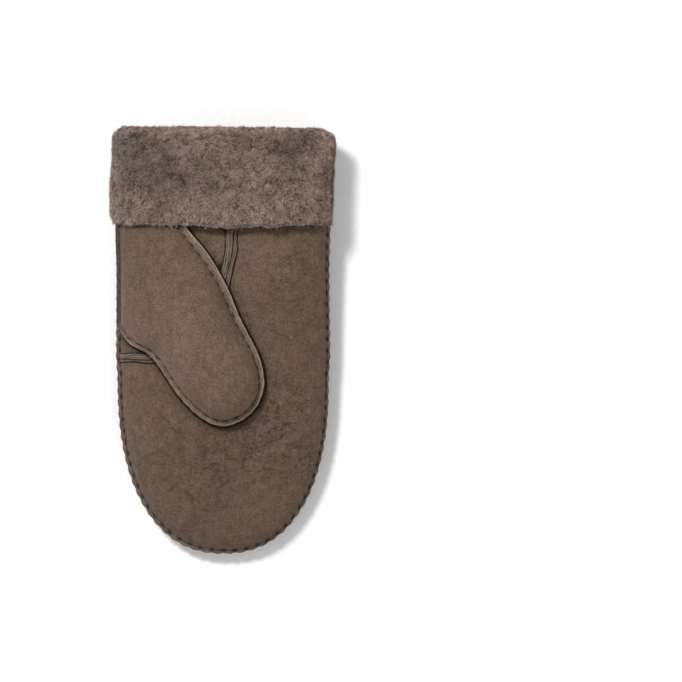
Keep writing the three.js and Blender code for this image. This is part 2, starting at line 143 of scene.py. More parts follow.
def smooth_line(points, shares):
    """Points at those shares of the length of a centripetal Catmull-Rom curve."""
    corners = np.array(points, float)
    first = 2 * corners[0] - corners[1]
    last = 2 * corners[-1] - corners[-2]
    corners = np.vstack([first, corners, last])
    t = np.linspace(0, 1, CURVE_STEPS, endpoint=False)[:, None]
    pieces = []
    for a, b, c, d in zip(corners, corners[1:], corners[2:], corners[3:]):
        before, here, after = [np.sqrt(np.linalg.norm(q - p)) for p, q in ((a, b), (b, c), (c, d))]
        out = ((b - a) / before - (c - a) / (before + here) + (c - b) / here) * here
        into = ((c - b) / here - (d - b) / (here + after) + (d - c) / after) * here
        curve = b + out * t + (3 * (c - b) - 2 * out - into) * t**2
        pieces.append(curve + (2 * (b - c) + out + into) * t**3)
    pieces.append(corners[-2][None])
    dense = np.vstack(pieces)
    length = distance_along(dense)
    return resampled(dense, length, np.asarray(shares) * length[-1])


def moved(points, distance):
    """A flat line moved to its left, seen from above."""
    way = np.vstack([points[1] - points[0], points[2:] - points[:-2], points[-1] - points[-2]])
    way /= np.linalg.norm(way, axis=1)[:, None]
    return points + np.reshape(distance, (-1, 1)) * np.stack([-way[:, 1], way[:, 0]], axis=-1)


def smoothstep(value, low, high):
    """0 up to low, 1 from high on, with a soft start and end between them."""
    t = np.clip((value - low) / (high - low), 0, 1)
    return t * t * (3 - 2 * t)


def mix(a, b, share):
    """a at share 0, b at share 1."""
    return a + (b - a) * share


# %% [markdown]
# The faces of the hide.
# Each face of the hand is a height over the flat outline. It rises from the stitches as a
# rounded pad, and the back is flatter because the mitten lies on it. The same functions shape
# the CAD part, so the fine pieces made here fit it exactly.

# %% Heights of the hide
PALM_POWER = 2.6  # how squarely the pad of the palm rises from the stitches
BACK_POWER = 3.2  # the same for the back
BACK_FLAT = 1.12  # over 1, so that the middle of the back is flat
SIDES_MEET = 30  # between this x on the left and on the right, one side turns into the other


def palm_bulge(share):
    return np.sqrt(np.maximum(0, 1 - share**PALM_POWER))


def back_bulge(share):
    return np.minimum(1, BACK_FLAT * np.sqrt(np.maximum(0, 1 - share**BACK_POWER)))


def right_share(outline_x):
    """0 on the thumb's side of the hand, 1 on the other."""
    return smoothstep(outline_x, -SIDES_MEET, SIDES_MEET)


def lip_width(outline_x):
    """The lip stands out flat on the thumb's side and is turned down on the other."""
    return mix(LEFT_LIP, RIGHT_LIP, right_share(outline_x))


def spread(x, y, inset):
    """How far out a point lies: 0 on the middle line, 1 on the outline drawn in by inset."""
    across = np.abs(x) / (read(SECTIONS, y)[0] - inset)
    along = np.maximum(0, END_Y - y) / (END_LENGTH - inset)
    return np.minimum(1, (across**END_POWER + along**END_POWER) ** (1 / END_POWER))


def inside_lip(x, y, inset):
    """The same, from the outline drawn in by its lip and the inset."""
    outline_x = x / np.maximum(0.05, spread(x, y, 0))
    return spread(x, y, lip_width(outline_x) + inset)


def palm_outer(x, y):
    _, _, seam, high = read(SECTIONS, y)
    return mix(seam + SKIN, high, palm_bulge(inside_lip(x, y, 0)))


def palm_inner(x, y):
    _, _, seam, high = read(SECTIONS, y)
    return mix(seam + GAP / 2, high - HIDE, palm_bulge(inside_lip(x, y, HIDE)))


def back_outer(x, y):
    _, low, seam, _ = read(SECTIONS, y)
    return mix(seam - SKIN, low, back_bulge(inside_lip(x, y, 0)))


def back_inner(x, y):
    _, low, seam, _ = read(SECTIONS, y)
    return mix(seam - GAP / 2, low + HIDE, back_bulge(inside_lip(x, y, HIDE)))


print("palm height at its middle:", float(palm_outer(np.array(0.0), np.array(0.0))), "mm")

# %% [markdown]
# Creases and waves in the leather.
# Sheepskin isn't flat: it has slow waves where the wool below is uneven, and a few creases
# where the hand has bent it. A slow wave is a sum of sines at odd angles, so that it never
# repeats. A crease is a groove along a short line, with a soft bank on one side. The mesh gets
# these, with a lower tone in them as painted shade, and for each point also its distance to the
# nearest one. From that distance the material draws the same crease as a thin line of painted
# shade, with a painted highlight on its bank. The finest wrinkles come from the material alone.

# %% Relief of the leather
# start x, start y, end x, end y, depth, width
PALM_CREASES = [
    (42, -51, 12.5, -64.5, 0.5, 1.7),
    (-15.5, -77.5, 8, -69, 0.45, 1.5),
    (46, -67, 40.5, -76.5, 0.35, 1.4),
    (22, -58, 8, -62, 0.3, 1.3),
    (14, -68, 28, -73, 0.28, 1.2),
    (30, 40, 48, 52, 0.3, 1.8),
    (34, 20, 52, 24, 0.25, 1.8),
    (26, 6, 44, -4, 0.25, 2),
    (-40, -40, -24, -58, 0.3, 2),
    (-30, -84, -12, -96, 0.25, 1.8),
    (20, -57, 47, -47, 0.4, 1.5),
    (24, -45, 45, -36, 0.3, 1.5),
    (-32, -90, -26, -83, 0.3, 1.4),
    (35, -36, 30, -20, 0.25, 1.4),
    (6, -79, -6, -88, 0.25, 1.5),
    (28, -78, 44, -84, 0.25, 1.5),
]
# turns a millimetre, direction, start
WAVES = [(0.055, 0.4, 1.1), (0.083, 2.1, 4.0), (0.12, 1.2, 2.2), (0.17, 2.7, 0.5)]
PALM_WAVE = 0.35  # height of the slow waves on the palm
BACK_WAVE = 0.25
THUMB_WAVE = 0.5
CREASE_BOW = 0.06  # how far a crease bows out, as a share of its length
CREASE_ENDS = 0.3  # the share of its length over which it fades out at each end
CREASE_RELIEF = 1.4  # the creases are cut this many times as deep as the table says
CREASE_TONE_SHADE = 0.3  # how much painted shade darkens the leather in a crease, for its depth
FAR_FROM_CREASE = 9  # the distance that a point without a crease near it is given


def waves(x, y, height):
    """Slow waves of about that height."""
    total = 0
    for frequency, turn, start in WAVES:
        along = x * math.cos(turn) + y * math.sin(turn)
        total = total + np.sin(frequency * along * 2 + start) * np.sin(frequency * along + turn)
    return height * total / 2


def crease_frame(x, y, start_x, start_y, end_x, end_y):
    """How far a point lies to the left of a crease, and 1 beside its middle, 0 at its ends."""
    way = np.array([end_x - start_x, end_y - start_y], float)
    length = np.linalg.norm(way)
    way /= length
    along = (x - start_x) * way[0] + (y - start_y) * way[1]
    bow = CREASE_BOW * length * np.sin(np.pi * np.clip(along / length, 0, 1))
    wobble = 0.35 * np.sin(along * 0.7) + 0.2 * np.sin(along * 1.9 + 1)
    away = (y - start_y) * way[0] - (x - start_x) * way[1] - bow - wobble
    fade = smoothstep(along, 0, CREASE_ENDS * length)
    fade = fade * (1 - smoothstep(along, (1 - CREASE_ENDS) * length, length))
    return away, fade


def crease(x, y, *row):
    """Height of one crease: a groove, and a soft bank on its left."""
    depth, width = row[4:]
    away, fade = crease_frame(x, y, *row[:4])
    groove = -depth * np.exp(-((away / width) ** 2))
    bank = 0.6 * depth * np.exp(-(((away - 1.8 * width) / (1.4 * width)) ** 2))
    return fade * (groove + bank)


def crease_lines(x, y):
    """Distance to the crease that shows most, and how strongly it shows there."""
    nearest = 0 * x + FAR_FROM_CREASE
    strength = 0 * x
    for row in PALM_CREASES:
        away, fade = crease_frame(x, y, *row[:4])
        shows = 2 * row[4] * fade * np.exp(-((away / 1.8) ** 2))
        nearest = np.where(shows > strength, away, nearest)
        strength = np.maximum(shows, strength)
    return nearest, strength


# x, y, radius, how much lighter or darker the leather is there
PALM_TONES = [
    (30, -20, 40, -0.02),
    (0, -70, 40, -0.12),
    (0, -115, 30, -0.1),
    (-42, -50, 22, -0.05),
    (58, 0, 16, -0.05),
    (-4, 56, 12, -0.02),
    # this row is a painted shadow in the dark corner between the thumb's lip and the raw edge of
    # the palm seam
    (-1.8, 42.2, 2.4, -0.4),
    (24, 60, 30, 0.04),
    (-36, -30, 24, 0.03),
    (-50, -2, 12, -0.08),
]
# x, y, radius, how strongly the leather is creased there
PALM_WEAR = [
    (10, -30, 80, 0.25),
    (14, -66, 20, 0.6),
    (46, -70, 12, 0.7),
    (36, -38, 18, 0.7),
    (-8, -76, 14, 0.5),
    (40, 36, 18, 0.5),
    (-36, -66, 12, 0.3),
]


def patches_of(x, y, table):
    """The sum of the table's soft round patches."""
    total = 0 * x
    for centre_x, centre_y, radius, change in table:
        away = ((x - centre_x) ** 2 + (y - centre_y) ** 2) / radius**2
        total = total + change * np.exp(-away)
    return total


def palm_creases(x, y):
    """Height of all the creases together."""
    return sum(crease(x, y, *row) for row in PALM_CREASES)


def palm_relief(x, y):
    """What the waves and the creases add to the height of the palm."""
    return waves(x, y, PALM_WAVE) + CREASE_RELIEF * palm_creases(x, y)


def palm_tone(x, y):
    """How much lighter or darker the palm is, with painted shade in its creases."""
    return patches_of(x, y, PALM_TONES) + CREASE_TONE_SHADE * palm_creases(x, y)


def nothing(x, y):
    """0 everywhere: no relief, or an even tone."""
    return 0 * x


print(len(PALM_CREASES), "creases in the palm")


# %% [markdown]
# Sheets.
# Every panel is a closed sheet: a grid of points on its top face, the same grid on its bottom
# face, and a wall round the rim. Along the fingertips the last row is folded onto itself, so it
# closes without a wall. Points that coincide are merged afterwards, which also closes the pole
# in the middle of the fingertips.


# %% Closed sheets
MERGED = 0.01  # points closer together than this become one
COLLAPSED = 0.002  # edges shorter than this are dropped


def grid_faces(rows, columns, first, flipped):
    """Four-sided faces between the points of a grid, whose first point has that number."""
    row, column = np.meshgrid(np.arange(rows - 1), np.arange(columns - 1), indexing="ij")
    a = (first + row * columns + column).ravel()
    order = (a, a + columns, a + columns + 1, a + 1)
    if flipped:
        order = order[::-1]
    return np.stack(order, axis=-1)


def sheet_faces(rows, columns, folded):
    """Faces of a sheet whose top points come first, and which of them are top, bottom, rim."""
    under = rows * columns
    top = grid_faces(rows, columns, 0, False)
    bottom = grid_faces(rows, columns, under, True)
    start = np.arange(rows - 1) * columns
    end = start + columns - 1
    walls = [
        np.stack([start, start + under, start + under + columns, start + columns], axis=-1),
        np.stack([end, end + columns, end + columns + under, end + under], axis=-1),
    ]
    c = np.arange(columns - 1)
    walls.append(np.stack([c, c + 1, c + 1 + under, c + under], axis=-1))
    if not folded:
        c = c + (rows - 1) * columns
        walls.append(np.stack([c, c + under, c + 1 + under, c + 1], axis=-1))
    rim = np.vstack(walls)
    kinds = np.repeat([0, 1, 2], [len(top), len(bottom), len(rim)])
    return np.vstack([top, bottom, rim]), kinds


def flat_list(x, y, z):
    """A grid of points as one list of them."""
    return np.stack([x, y, z], axis=-1).reshape(-1, 3)


def on_both_faces(attributes):
    """The numbers of the top points, and the same for the points below them."""
    return {key: np.tile(values.ravel(), 2) for key, values in attributes.items()}


def linked(name, mesh):
    """A new object in the scene with that mesh."""
    obj = bpy.data.objects.new(name, mesh)
    bpy.context.scene.collection.objects.link(obj)
    return obj


def make_object(name, points, faces, attributes=None, materials=(), slots=None):
    """A smooth mesh from points in millimetres, with doubles merged."""
    mesh = bpy.data.meshes.new(name)
    mesh.from_pydata((np.asarray(points) * MM).tolist(), [], np.asarray(faces).tolist())
    for key, values in (attributes or {}).items():
        kind = "FLOAT_VECTOR" if np.ndim(values) == 2 else "FLOAT"
        field = "vector" if np.ndim(values) == 2 else "value"
        attribute = mesh.attributes.new(key, kind, "POINT")
        attribute.data.foreach_set(field, np.asarray(values, np.float32).ravel())
    for material in materials:
        mesh.materials.append(material)
    if slots is not None:
        mesh.polygons.foreach_set("material_index", np.asarray(slots, np.int32))
    obj = linked(name, mesh)
    tidy(obj)
    return obj


def tidy(obj):
    """Merges doubles, drops what has collapsed, and shades the mesh smooth."""
    work = bmesh.new()
    work.from_mesh(obj.data)
    bmesh.ops.remove_doubles(work, verts=work.verts, dist=MERGED * MM)
    bmesh.ops.dissolve_degenerate(work, dist=COLLAPSED * MM, edges=work.edges)
    work.to_mesh(obj.data)
    work.free()
    obj.data.shade_smooth()


def crisp(obj, degrees):
    """Shades a mesh smooth, but keeps its cut edges sharp."""
    obj.data.shade_smooth()
    work = bmesh.new()
    work.from_mesh(obj.data)
    for edge in work.edges:
        edge.smooth = edge.calc_face_angle(0) < math.radians(degrees)
    work.to_mesh(obj.data)
    work.free()


# %% [markdown]
# Stitched lips.
# Where two raw edges are sewn together, each stitch pulls them in a little and the leather
# bulges between two stitches. The distance along the seam, measured from the fingertip or the
# thumb's tip, gives the place in that rhythm, and the lips, the dimples and the thread are all
# made from it, so that they always agree.


# %% The rhythm of the stitches
def seam_distance(outline):
    """Distance of each outline point from its last one."""
    length = distance_along(outline)
    return length[-1] - length


def rhythm(distance):
    """1 on a stitch, 0 half way between two."""
    return 0.5 + 0.5 * np.cos(2 * np.pi * distance / STITCH_PITCH)


# %% [markdown]
# The grid of the hand.
# Its rows run across the hand, closer together than they look, and turn round the fingertips
# like a fan. Its columns run from the middle line to the stitches, and then across the lip in
# small steps, because that is where the eye looks for the sewing.

# %% Grid of the hand
SCALLOP = 0.55  # how far the lip bulges out between two stitches
RIPPLE = 0.3  # how far it waves up and down
PUCKER = 0.5  # how deep a stitch pulls the leather in
PUCKER_WIDE = 1.9  # and how far from the stitch that is felt
LEFT_DROOP = 0.5  # how far the lip hangs down on the thumb's side
RIGHT_DROOP = 1.5  # and on the other side
DROOP_POWER = 1.4  # over 1, so that it hangs down most at its edge
ROW_STEP = 1.3
FAN_LENGTH = 130  # about how long the outline of half the fingertips is
HALF_COLUMNS = 30  # from the middle line to the stitches
CLOSER_OUTSIDE = 1.25  # over 1, so that those columns lie closer beside the stitches
straight = np.linspace(PANEL_TOP_Y, END_Y, int((PANEL_TOP_Y - END_Y) / ROW_STEP))
turns = np.linspace(0, math.pi / 2, int(FAN_LENGTH / ROW_STEP))[1:]
row_y = np.concatenate([straight, np.full(len(turns), END_Y)])
row_turn = np.concatenate([np.zeros(len(straight)), turns])
to_stitches = 1 - (1 - np.linspace(0, 1, HALF_COLUMNS)) ** CLOSER_OUTSIDE
LIP_STEPS = np.array([0.16, 0.33, 0.5, 0.66, 0.82, 0.94, 1])
column_share = np.concatenate([to_stitches, np.ones(len(LIP_STEPS))])
column_lip = np.concatenate([np.zeros(len(to_stitches)), LIP_STEPS])
share = np.concatenate([column_share[:0:-1], column_share])
lip = np.concatenate([column_lip[:0:-1], column_lip])
side = np.concatenate([-np.ones(len(column_share) - 1), np.ones(len(column_share))])
row_half = read(SECTIONS, row_y)[0]
row_out = np.abs(np.cos(row_turn)) ** (2 / END_POWER)
row_down = np.abs(np.sin(row_turn)) ** (2 / END_POWER)
outline_x = side * (row_half * row_out)[:, None]
wide = lip_width(outline_x)
droop = mix(LEFT_DROOP, RIGHT_DROOP, right_share(outline_x))


def hand_points(inset, past):
    """Flat x and y for each row and column."""
    across = share * (row_half[:, None] - wide - inset) + past
    along = share * (END_LENGTH - wide - inset) + past
    x = side * across * row_out[:, None]
    y = row_y[:, None] - along * row_down[:, None]
    return x, y


seam_x, seam_y = hand_points(0, 0)
seam_path = np.stack([seam_x[:, -1], seam_y[:, -1]], axis=-1)
seam_run = seam_distance(seam_path)
hand_rhythm = rhythm(seam_run)[:, None]
print("hand grid:", seam_x.shape, "seam length", round(2 * seam_run[0]), "mm")


# %% Sheets of the hand
LIP_FOLDS = 0.12  # height of the lengthwise folds in a lip of the hand
PALE_LIP = 0.88  # how far its colour goes towards that of a cut edge
SEAM_SHADOW = 0.9  # how far from the stitches the painted shade of the seam reaches
SEAM_DARK = (0.15, 0.85)  # how dark that painted shade is everywhere, and how much more at a stitch
RIM_FROM = 0.6  # the outermost edge of a lip starts at this share of its width, and gets painted shade where it turns down


def lip_shape(beat, lip_share, to_stitch):
    """How far a lip bulges out, ripples, and is pulled in at the stitches."""
    out = SCALLOP * (0.5 - beat) * lip_share
    wave = RIPPLE * (0.5 - beat) * lip_share
    pulled = PUCKER * beat**2 * np.exp(-((to_stitch / PUCKER_WIDE) ** 2))
    return out, wave, pulled


def lip_streaks(lip_share, run):
    """Low lengthwise folds in a raw edge, where the sewing has pulled it."""
    phase = 1.3 * np.sin(run * 0.19) + 0.8 * np.sin(run * 0.47 + 1)
    return np.sin(lip_share * 8 + phase) * np.sin(np.pi * np.clip(lip_share, 0, 1))


def material_slots(kinds, wool_kind):
    """0 for the leather face, 1 for the wool face, 2 for the cut edge."""
    return np.where(kinds == 2, 2, (kinds == wool_kind).astype(int))


def hand_sheet(name, outer, inner, relief, outer_on_top, tone_of=nothing, wear=()):
    """A panel of the hand with its leather face, its wool face and its lip."""
    to_stitch = (1 - share) * row_half[:, None] - (lip * wide - STITCH_LINE) * (lip > 0)
    out, wave, pulled = lip_shape(hand_rhythm, lip, np.abs(to_stitch))
    run = seam_run[:, None] * side
    wave = wave - droop * lip**DROOP_POWER
    x, y = hand_points(0, lip * wide + out)
    up = 1 if outer_on_top else -1
    calm = smoothstep((1 - share) * row_half[:, None], 1, 9)
    folds = LIP_FOLDS * lip_streaks(lip, run)
    z = outer(x, y) + up * (relief(x, y) * calm - pulled + folds) + wave
    inside_x, inside_y = hand_points(HIDE, lip * (HIDE + wide) + out)
    inside_z = inner(inside_x, inside_y) + wave
    leather = flat_list(x, y, z)
    wool_face = flat_list(inside_x, inside_y, inside_z)
    stacked = [leather, wool_face] if outer_on_top else [wool_face, leather]
    faces, kinds = sheet_faces(len(row_y), len(share), True)
    wool_kind = 1 if outer_on_top else 0
    crease_away, crease_depth = crease_lines(x, y)
    if not wear:
        crease_depth = 0 * x
    everywhere, at_stitch = SEAM_DARK
    dark = np.exp(-((to_stitch / SEAM_SHADOW) ** 2))
    attributes = {
        "crease_away": crease_away,
        "crease_depth": crease_depth,
        "edge": np.broadcast_to(PALE_LIP * lip, x.shape),
        # painted shade in the stitch line, deepest in the dimple at each stitch
        "groove": dark * (everywhere + at_stitch * hand_rhythm**2),
        "tone": 0.5 + tone_of(x, y),
        "wear": patches_of(x, y, wear),
        "run": run,
        "across": lip * wide,
        "beside": 0 * x,
        # painted shade on the outermost edge of the lip, where it turns down
        "rim": np.broadcast_to(smoothstep(lip, RIM_FROM, 1), x.shape),
    }
    attributes = on_both_faces(attributes)
    slots = material_slots(kinds, wool_kind)
    return make_object(name, np.vstack(stacked), faces, attributes, hide, slots)


# %% [markdown]
# Materials.
# The mitten is suede and wool, sewn with a thread, and the cut edge of the hide is the same
# suede, only paler. Suede is the flesh side of the skin, buffed until it has a short nap. The
# nap scatters light to all sides, so suede looks dull in the middle and a little brighter where
# it turns away, which sheen gives. Wool is a dense pile of crimped fibres, also without any
# gloss, and its light and dark come from how the locks lie. The colours come from noise and
# from numbers that the meshes carry at their points, so no picture is needed.


# %% Node helpers and colours
def colour(code):
    """An sRGB hex colour as linear red, green, blue and alpha."""
    parts = [int(code[i : i + 2], 16) / 255 for i in (1, 3, 5)]
    linear = [c / 12.92 if c <= 0.04045 else ((c + 0.055) / 1.055) ** 2.4 for c in parts]
    return (*linear, 1)


def add(tree, kind, inputs=None, **settings):
    """Adds a node, sets it up, and fills or links its inputs."""
    node = tree.nodes.new(kind)
    for name, value in settings.items():
        setattr(node, name, value)
    for key, value in (inputs or {}).items():
        if isinstance(value, bpy.types.NodeSocket):
            tree.links.new(value, node.inputs[key])
        else:
            node.inputs[key].default_value = value
    return node


def new_material(name):
    """A material without any nodes yet."""
    material = bpy.data.materials.new(name)
    material.use_nodes = True
    material.node_tree.nodes.clear()
    return material


def shaded(material, inputs):
    """Gives a material its Principled shader, and returns the material."""
    tree = material.node_tree
    shader = add(tree, "ShaderNodeBsdfPrincipled", inputs)
    add(tree, "ShaderNodeOutputMaterial", {"Surface": shader.outputs[0]})
    return material


# ShaderNodeMix keeps the sockets of every data type, and these are the ones for colours
FACTOR = 0
COLOUR_A = 6
COLOUR_B = 7
COLOUR_OUT = 2


def blended(tree, factor, a, b, blend_type="MIX"):
    """Colour a at factor 0, colour b at factor 1."""
    inputs = {FACTOR: factor, COLOUR_A: a, COLOUR_B: b}
    node = add(tree, "ShaderNodeMix", inputs, data_type="RGBA", blend_type=blend_type)
    return node.outputs[COLOUR_OUT]


def brightened(tree, shade, *factors):
    """A colour made lighter or darker by every factor in turn."""
    for factor in factors:
        shade = blended(tree, 1.0, shade, factor, "MULTIPLY")
    return shade


def maths(tree, operation, *values):
    """The result of one Math node."""
    return add(tree, "ShaderNodeMath", dict(enumerate(values)), operation=operation).outputs[0]


def multiplied(tree, a, b):
    return maths(tree, "MULTIPLY", a, b)


print("middle brown in linear light:", colour("#614e44"))


# %% Helpers for patterns
def ranged(tree, value, low, high, to_low=0.0, to_high=1.0):
    """The value, stretched so that low to high becomes to_low to to_high."""
    inputs = {"Value": value, "From Min": low, "From Max": high}
    inputs.update({"To Min": to_low, "To Max": to_high})
    return add(tree, "ShaderNodeMapRange", inputs).outputs["Result"]


def spotted(tree, place, size_mm, detail, low, high, roughness=0.6, to=(0.0, 1.0)):
    """Noise with spots of that size, stretched so that low to high becomes the range to."""
    scale = 1 / (size_mm * MM)
    inputs = {"Vector": place, "Scale": scale, "Detail": detail, "Roughness": roughness}
    noise = add(tree, "ShaderNodeTexNoise", inputs)
    return ranged(tree, noise.outputs["Fac"], low, high, *to)


def object_place(tree):
    """Where a point lies on the object, in metres."""
    return add(tree, "ShaderNodeTexCoord").outputs["Object"]


def attribute(tree, name):
    """A number that the mesh carries at each of its points."""
    return add(tree, "ShaderNodeAttribute", attribute_name=name).outputs["Fac"]


def bumped(tree, height, strength, deep_mm, normal=None):
    """The direction of the surface, tilted by a height of that many millimetres."""
    inputs = {"Height": height, "Strength": strength, "Distance": deep_mm * MM}
    if normal is not None:
        inputs["Normal"] = normal
    return add(tree, "ShaderNodeBump", inputs).outputs[0]


# %% [markdown]
# Sheepskin suede.
# The flesh side, split, dyed brown and buffed. Noise of several sizes gives what the eye finds
# on it: slow clouds where the dye took differently, a mottling of a few millimetres, strokes of
# the brush, and the nap itself. Real nap is a tenth of a millimetre, too fine for the render, so
# it is drawn at about a millimetre. The creases get a painted shade as a dark line and a painted
# highlight on their bank, and where the leather is worn it is full of thin wrinkles, whose lines
# are painted shade. The lips are paler, because a cut edge shows the undyed middle of the skin.
# On the thumb the outer edge of the lip also gets a painted highlight in that pale colour, and
# on the hand the outer edge of the lip is darkened as painted shade where it turns down. The
# stitch line gets painted shade, and the places beside another piece a painted shadow.


# %% Creases and grain of the suede
WRINKLES = ((7, 0.5), (4.5, -0.9))  # size in millimetres and direction
WRINKLE_THIN = 0.04  # how far the noise may be from its middle on a wrinkle
CREASE_LINE = (0.1, 0.8)  # millimetres from the crease where its dark line of painted shade starts to end and ends
# how dark the painted shade along a crease is
CREASE_LINE_SHADE = 0.55
CREASE_BANK = 1.1  # millimetres to the bank, which gets a painted highlight
# how much lighter that painted highlight on the bank is
CREASE_BANK_HIGHLIGHT = 0.16
ALONG_LIP = 0.11  # spots a millimetre along the lip
ACROSS_LIP = 1.3  # and across it


def distance_from(tree, value, middle):
    """How far a value is from the middle, on either side."""
    return maths(tree, "ABSOLUTE", maths(tree, "SUBTRACT", value, middle))


def fine_creases(tree, place):
    """1 on thin lines that flow and break off like wrinkles, 0 between them."""
    lines = 0.0
    for size_mm, turn in WRINKLES:
        slanted = {"Vector": place, "Rotation": (0, 0, turn), "Scale": (0.55, 1, 1)}
        slanted = add(tree, "ShaderNodeMapping", slanted).outputs["Vector"]
        inputs = {"Vector": slanted, "Scale": 1 / (size_mm * MM), "Detail": 3.0}
        noise = add(tree, "ShaderNodeTexNoise", {**inputs, "Distortion": 0.5}).outputs["Fac"]
        thin = ranged(tree, distance_from(tree, noise, 0.5), 0.0, WRINKLE_THIN, 1, 0)
        lines = maths(tree, "MAXIMUM", thin, lines)
    broken = spotted(tree, place, 6, 2, 0.4, 0.56)
    return multiplied(tree, lines, broken)


def crease_marks(tree, place):
    """Painted shade along each crease and a painted highlight on its bank, as a factor."""
    wander = spotted(tree, place, 2.5, 3, 0.3, 0.7, to=(-0.7, 0.7))
    away = maths(tree, "ADD", attribute(tree, "crease_away"), wander)
    depth = attribute(tree, "crease_depth")
    line = ranged(tree, maths(tree, "ABSOLUTE", away), *CREASE_LINE, CREASE_LINE_SHADE, 0)
    bank = ranged(tree, distance_from(tree, away, CREASE_BANK), 0.0, 0.8, CREASE_BANK_HIGHLIGHT, 0)
    marks = maths(tree, "SUBTRACT", multiplied(tree, bank, depth), multiplied(tree, line, depth))
    return maths(tree, "ADD", marks, 1.0)


def lip_grain(tree):
    """Light and dark lengthwise lines, from the distances along and across the seam in mm."""
    inputs = {"X": multiplied(tree, attribute(tree, "run"), ALONG_LIP)}
    inputs["Y"] = multiplied(tree, attribute(tree, "across"), ACROSS_LIP)
    lines = add(tree, "ShaderNodeCombineXYZ", inputs).outputs[0]
    lines = add(tree, "ShaderNodeTexNoise", {"Vector": lines, "Scale": 1.0, "Detail": 3.0})
    return ranged(tree, lines.outputs["Fac"], 0.3, 0.7, 0.6, 1.35)


# %% Colour of the suede
BROWNS = ("#614e44", "#5f5043")
LIP_BROWN = "#7a6c62"
CUT_SKIN_AND_HIGHLIGHT = "#a89b90"
# the colour of the painted shade in the stitch line
SEAM_SHADE_COLOUR = "#241a15"
DEEP_SHADOW = "#1a120d"
DARK_FROM = (0.76, 0.9)  # nearness to another piece at which the painted shadow line starts and is full


def dyed(tree, place, nap_shade, wrinkle):
    """The brown of the leather with its clouds, mottling, nap, strokes and creases, with painted
    shade in the creases and wrinkles and the painted shadow that the tone carries.
    """
    hues = spotted(tree, place, 17, 3, 0.35, 0.65)
    body = blended(tree, hues, colour(BROWNS[0]), colour(BROWNS[1]))
    clouds = spotted(tree, place, 34, 2, 0.3, 0.7, to=(0.9, 1.08))
    mottling = spotted(tree, place, 5.5, 5, 0.3, 0.7, 0.7, to=(0.8, 1.2))
    brushed = add(tree, "ShaderNodeMapping", {"Vector": place, "Scale": (1, 0.3, 1)})
    strokes = spotted(tree, brushed.outputs["Vector"], 2.4, 4, 0.3, 0.7, to=(0.9, 1.1))
    # the tone attribute also carries the painted shade of the creases and the painted shadow beside
    # other pieces
    toned = ranged(tree, attribute(tree, "tone"), 0, 1, 0.5, 1.5)
    # painted shade in the thin wrinkles where the leather is worn
    wrinkle_shade = ranged(tree, wrinkle, 0, 1, 1, 0.4)
    marks = crease_marks(tree, place)
    return brightened(tree, body, clouds, mottling, nap_shade, strokes, toned, wrinkle_shade, marks)


def with_lips(tree, body, nap_shade, paleness):
    """The brown, turned paler on the lips and the cut edges, with a painted highlight on the outer
    edge of the thumb's lips and painted shade on the outer edge of the hand's lips.
    """
    edge = attribute(tree, "edge")
    streaks = ranged(tree, edge, 0.02, 0.2, 1.0, lip_grain(tree))
    lip_colour = brightened(tree, colour(LIP_BROWN), nap_shade, streaks)
    lip_tone = ranged(tree, edge, 0.1, 0.9, 0, 0.8)
    body = blended(tree, lip_tone, brightened(tree, body, streaks), lip_colour)
    # on the cut faces this is the pale cut skin; on the suede face only the thumb's lips reach it,
    # and there it is a painted highlight along their outer edge
    pale_rim_and_highlight = ranged(tree, edge, 0.89, 0.98, paleness, 0.85)
    body = blended(tree, pale_rim_and_highlight, body, brightened(tree, colour(CUT_SKIN_AND_HIGHLIGHT), nap_shade))
    # on the suede face of the hand's lips, painted shade along the outer edge where the lip turns
    # down
    if paleness == 0:
        body = brightened(tree, body, ranged(tree, attribute(tree, "rim"), 0, 1, 1, 0.6))
    return body


def with_shadows(tree, body):
    """The same, with painted shade in the stitch line and a painted shadow beside another piece."""
    # the groove attribute is painted shade along the stitch lines and in the folds of the raw edges
    seam_shade = multiplied(tree, attribute(tree, "groove"), 0.85)
    body = blended(tree, seam_shade, body, colour(SEAM_SHADE_COLOUR))
    # a thin dark line of painted shadow beside another piece
    shadow_line = ranged(tree, attribute(tree, "beside"), *DARK_FROM, 0, 0.85)
    return blended(tree, shadow_line, body, colour(DEEP_SHADOW))


def suede_material(name, paleness):
    """Suede, or with some paleness its cut edge."""
    material = new_material(name)
    tree = material.node_tree
    place = object_place(tree)
    nap = spotted(tree, place, 1.2, 4, 0.28, 0.72, 0.85)
    nap_shade = ranged(tree, nap, 0, 1, 0.46, 1.58)
    wrinkle = multiplied(tree, fine_creases(tree, place), attribute(tree, "wear"))
    body = dyed(tree, place, nap_shade, wrinkle)
    body = with_lips(tree, body, nap_shade, paleness)
    body = with_shadows(tree, body)
    uneven = spotted(tree, place, 3.2, 3, 0.35, 0.65, 0.55)
    coarse = bumped(tree, maths(tree, "SUBTRACT", uneven, wrinkle), 0.45, 0.35)
    inputs = {
        "Base Color": body,
        "Normal": bumped(tree, nap, 0.8, 0.2, coarse),
        "Roughness": 0.95,
        "IOR": 1.45,
        "Specular IOR Level": 0.2,
        "Sheen Weight": 0.25,
        "Sheen Roughness": 0.45,
        "Sheen Tint": colour("#b8a698"),
    }
    return shaded(material, inputs)


suede = suede_material("Sheepskin suede, buffed", 0)
cut_edge = suede_material("Sheepskin, cut edge", 0.6)
print("made", suede.name, "with", len(suede.node_tree.nodes), "nodes")

# %% [markdown]
# Sheared wool.
# Lamb's wool left on the skin, clipped to an even length and combed. Each modelled strand stands
# for a small lock of fibres. It is darker at its root, where light hardly reaches, and paler at
# its clipped tip, and neighbouring locks differ a little. The same material covers the skin
# below the strands, where the attribute that says how far along a strand a point lies is low.


